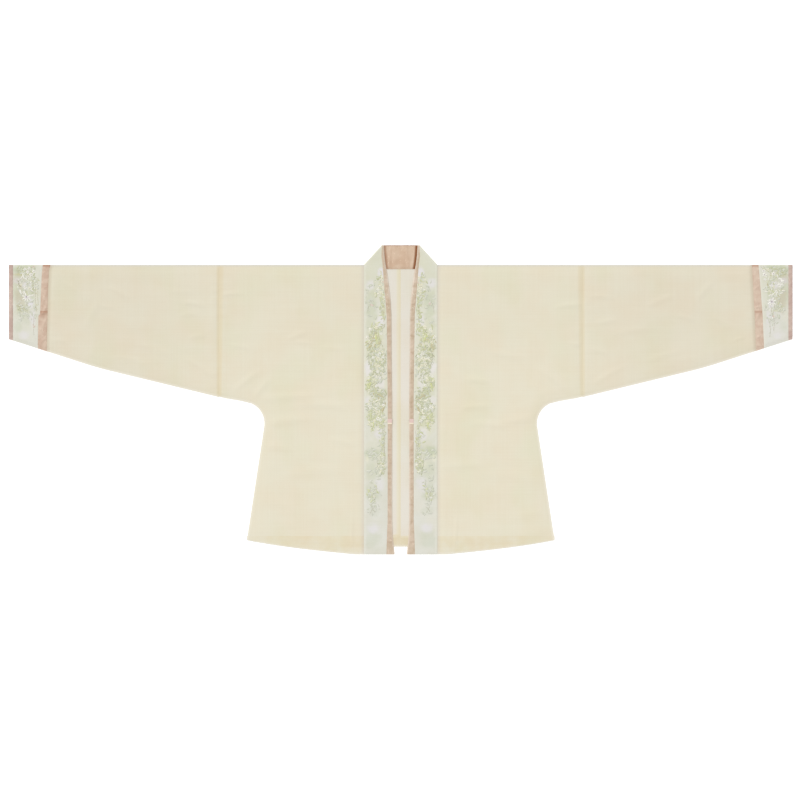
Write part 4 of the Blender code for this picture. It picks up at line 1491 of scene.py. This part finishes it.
CUFF_FLOWERS = {
    "left": (
        (840, 23, 5.2, "white", "plum"), (833, 16, 4.6, "white", "plum"),
        (847, 16, 4.8, "white", "plum"), (854, 10, 3.8, "white", "plum"),
        (844, 7, 4, "white", "plum"), (834, 5, 3.6, "pink", "plum"),
        (856, 23, 3.6, "white", "lilac"), (863, 46, 2.8, "cream", "gold"),
        (854, 52, 4.2, "white", "lilac"), (857, 62, 4, "white", "mist"),
        (844, 52, 2.6, "cream", "gold"), (833, 140, 3, "pink", "pink"),
    ),
    "right": (
        (827, 23, 5.6, "white", "plum"), (824, 14, 4.4, "white", "plum"),
        (847, 20, 5, "white", "plum"), (834, 11, 3.6, "cream", "gold"),
        (828, 34, 3.6, "white", "lilac"), (853, 62, 5, "white", "mist"),
        (863, 44, 4.2, "white", "lilac"), (847, 50, 3.4, "cream", "fresh"),
        (838, 60, 3.4, "cream", "olive"), (846, 118, 3, "pink", "pink"),
    ),
}
CUFF_DRIFTS = (
    (852, 14, 24, 14, 60, "mist sage leaf faint"),
    (848, 48, 24, 26, 90, "faint mist white"),
    (850, 105, 24, 34, 90, "faint faint mist"),
)
CUFF_LILY = {"left": (850, 73, 12), "right": (843, 84, 12)}  # x, drop, petals' length
BARE_BY_SIDE, BARE_BY_FOLD, BARE_BY_UNDERSIDE = 0.0008, 0.0016, 0.0040


def lily(pads, rng, x, drop, size):
    """A lily wide open: seven long pale petals round its foot, each with a lilac vein."""
    for turn in (-1.9, -1.1, -0.4, 0.3, 1.0, 1.8, 2.7):
        turn += rng.uniform(-0.1, 0.1)
        at = (x + 0.5 * size * sin(turn), drop + 0.5 * size * cos(turn))
        pads.append((*at, size, size * 0.34, turn, "white", rng.uniform(0.4, 1), 1.4))
        at = (x + 0.3 * size * sin(turn + 0.2), drop + 0.3 * size * cos(turn + 0.2))
        pads.append((*at, size * 0.5, size * 0.14, turn, "lilac", rng.uniform(0, 0.6), 1.8))
    pads.append((x, drop, size * 0.35, size * 0.3, 0.0, "plum", 0.6, 2.0))


def face_of(relief, wall):
    """Height of a piece's outer face, from that of the middle of its wall."""
    return lambda x, drop: relief(x, drop) + wall / 2


for word, hand, seed in (("left", -1, 15), ("right", 1, 19)):
    rng = np.random.default_rng(seed)
    pads = []
    for row in CUFF_DRIFTS:
        drift(pads, rng, *row)
    for *ends, bow, leaves, size, dyes in CUFF_BRANCHES[word]:
        ends = np.array(ends) * MM
        branch(pads, rng, ends[:2], ends[2:], bow, leaves, size * MM, dyes)
    for *sizes, petal, heart in CUFF_FLOWERS[word]:
        x, drop, radius = np.array(sizes) * MM
        x, drop = x + rng.uniform(-0.001, 0.001), drop + rng.uniform(-0.001, 0.001)
        blossom(pads, rng, x, drop, radius, petal, heart)
    lily(pads, rng, *np.array(CUFF_LILY[word]) * MM)
    kept = []
    for pad in pads:
        x, drop, length, _, turn = pad[:5]
        reach_x, reach_drop = length / 2 * abs(sin(turn)), length / 2 * abs(cos(turn))
        inner = seam_at(CUFF_SEAM[word], drop / underside(x)) + BARE_BY_SIDE
        outer, low = WRIST_SEAM[0][1] - BARE_BY_SIDE, underside(x) - BARE_BY_UNDERSIDE
        inside = inner < x - reach_x and x + reach_x < outer
        if inside and BARE_BY_FOLD < drop - reach_drop and drop + reach_drop < low:
            kept.append(pad)
    cuff_face = face_of(cuff_relief(word), CUFF_WALL)
    sewn(f"embroidery_cuff_{word}", kept, cuff_face, hand, floss)

# ------------------------------------------------------------------------------------------------
# Stitching: the hems are caught up inside, and the bands, bindings, strips and cuffs are sewn
# down close to their edges, in polyester thread dyed near each cloth.

STITCH, STITCH_GAP = 0.0022, 0.0009
THREAD = 0.00045  # a thread is 0.2 mm thick. It is drawn thicker, to show at all
LOOK = 0.0005  # a row's direction at a stitch is taken over this much on either side
SEWN_IN = {  # how far inside its edge each row runs
    "hem": 0.0015,
    "band": 0.0020,
    "binding": 0.0016,
    "cuff": 0.0016,
    "strip": 0.0016,
    "wrist": 0.0018,
    "tab": 0.0018,
}
TAB_BOX = 0.0070  # height of the box of stitches on a tie's end, short of its turned edge
BAR_TACKS = (  # in pale thread, to hold the binding down: drop, length, width, turn
    (0.0680, 0.0045, 0.0016, 0.3),
    (0.0980, 0.0050, 0.0014, 1.2),
    (0.3800, 0.0075, 0.0007, 1.57),
    (0.4325, 0.0060, 0.0007, 1.57),
)


def stitch_row(pads, rng, x, drop, dye):
    """Running stitches along a line, given as arrays of x and drop."""
    reach = np.concatenate([[0], np.cumsum(np.hypot(np.diff(x), np.diff(drop)))])
    for at in np.arange(STITCH / 2, reach[-1] - STITCH / 2, STITCH + STITCH_GAP):
        (ax, bx), (ad, bd) = (np.interp([at - LOOK, at + LOOK], reach, v) for v in (x, drop))
        turn = atan2(bx - ax, bd - ad) + rng.uniform(-0.06, 0.06)
        long = STITCH * rng.uniform(0.92, 1.08)
        place = (ax + bx) / 2 + rng.uniform(-0.0001, 0.0001), (ad + bd) / 2
        pads.append((*place, long, THREAD, turn, dye, rng.uniform(0, 1), 0.9))


def on_binding(x, drop):
    inner, outer = binding_edge(drop, 1), binding_edge(drop, 2)
    return binding_height(x, drop, x - inner, outer - x) + BAND_WALL / 2


for word, hand, seed in (("left", -1, 31), ("right", 1, 37)):
    rng = np.random.default_rng(seed)
    faces = {
        "hem": (face_of(partial(front_height, word), GAUZE_WALL), "gauze"),
        "band": (on_band(word), "printed_silk"),
        "binding": (on_binding, "rose_silk"),
        "cuff": (face_of(cuff_relief(word), CUFF_WALL), "printed_silk"),
        "strip": (face_of(strip_relief(word), ROSE_WALL), "rose_silk"),
        "wrist": (face_of(wrist_relief, WRIST_WALL), "rose_silk"),
        "tab": (face_of(lambda x, drop: TAB_Z, TAB_WALL), "tie_ribbon"),
    }
    pads = {name: [] for name in faces}
    x = np.linspace(BAND_SEAM + 0.002, HEM_HALF - 0.008, 80)
    turn_edge = front_hem(x) - front_turn(x)
    stitch_row(pads["hem"], rng, x, turn_edge + SEWN_IN["hem"], "cream thread")
    drop = np.linspace(0.004, LENGTH - 0.004, 300)
    stitch_row(pads["band"], rng, BAND_SEAM - SEWN_IN["band"] + 0 * drop, drop, "cream thread")
    drop = np.linspace(0.003 - COLLAR_RISE, LENGTH - 0.004, 300)
    sewn_edge = binding_edge(drop, 2) - SEWN_IN["binding"]
    stitch_row(pads["binding"], rng, sewn_edge, drop, "rose thread")
    share = np.linspace(0.02, 0.97, 60)
    for name, seam, dye in (
        ("cuff", CUFF_SEAM[word], "cream thread"),
        ("strip", STRIP_SEAM[word], "rose thread"),
        ("wrist", WRIST_SEAM, "rose thread"),
    ):
        x = seam_at(seam, share) + SEWN_IN[name]
        stitch_row(pads[name], rng, x, share * underside(x), dye)
    low, high = (float(binding_edge(TAB_DROP[0], k)) for k in (1, 2))
    box, inset = np.array([(0, 0), (1, 0), (1, 1), (0, 1), (0, 0)]), SEWN_IN["tab"]
    x = low + inset + (high - low - 2 * inset) * box[:, 0]
    drop = TAB_DROP[0] + inset + TAB_BOX * box[:, 1]
    stitch_row(pads["tab"], rng, x, drop, "pink thread")
    for at_drop, long, wide, lean in BAR_TACKS:
        middle = float(binding_edge(at_drop, 1) + binding_edge(at_drop, 2)) / 2
        turn = lean + rng.uniform(-0.15, 0.15)
        pads["binding"].append((middle, at_drop, long, wide, turn, "cream thread", 0.9, 1.2))
    for name, (surface, slot) in faces.items():
        sewn(f"stitches_{name}_{word}", pads[name], surface, hand, floss)

# ------------------------------------------------------------------------------------------------
# Where it lies: a white table under one broad soft lamp from the upper left and pale light all
# round, seen from straight above.

FLOOR_Z = -0.0003  # just below the cloth, whose underside is at 0
bpy.ops.object.select_all(action="DESELECT")
bpy.ops.mesh.primitive_plane_add(size=60, location=(0, 0, FLOOR_Z))
floor = bpy.context.object
floor.name = "floor"
# Matt white paper, which glows a little, so that the thin cloth throws hardly any shadow on it
white, _, shader = new_material("white_paper_backlit", 0.95, Base_Color=rgba("fdfdfd"))
shader.inputs["Specular IOR Level"].default_value = 0.0
shader.inputs["Emission Color"].default_value = rgba("ffffff")
shader.inputs["Emission Strength"].default_value = 0.30
floor.data.materials.append(white)

world = bpy.data.worlds.new("pale_studio")
bpy.context.scene.world = world
world.use_nodes = True
world.node_tree.nodes["Background"].inputs["Color"].default_value = (1.0, 1.0, 1.0, 1.0)
world.node_tree.nodes["Background"].inputs["Strength"].default_value = 0.72

bpy.ops.object.light_add(type="SUN", location=(-1.6, 1.9, 3.0))
lamp = bpy.context.object
lamp.name = "soft_lamp"
lamp.data.energy, lamp.data.angle = 1.36, radians(24)
lamp.rotation_euler = (radians(-32), radians(-28), 0)

bpy.ops.object.camera_add(location=(-0.0016, -0.0006, 5.05), rotation=(0, 0, 0))
camera = bpy.context.object
camera.name = "camera_above"
camera.data.lens, camera.data.sensor_width = 100, 36
camera.data.clip_end = 200
bpy.context.scene.camera = camera
bpy.context.scene.view_settings.view_transform = "Standard"
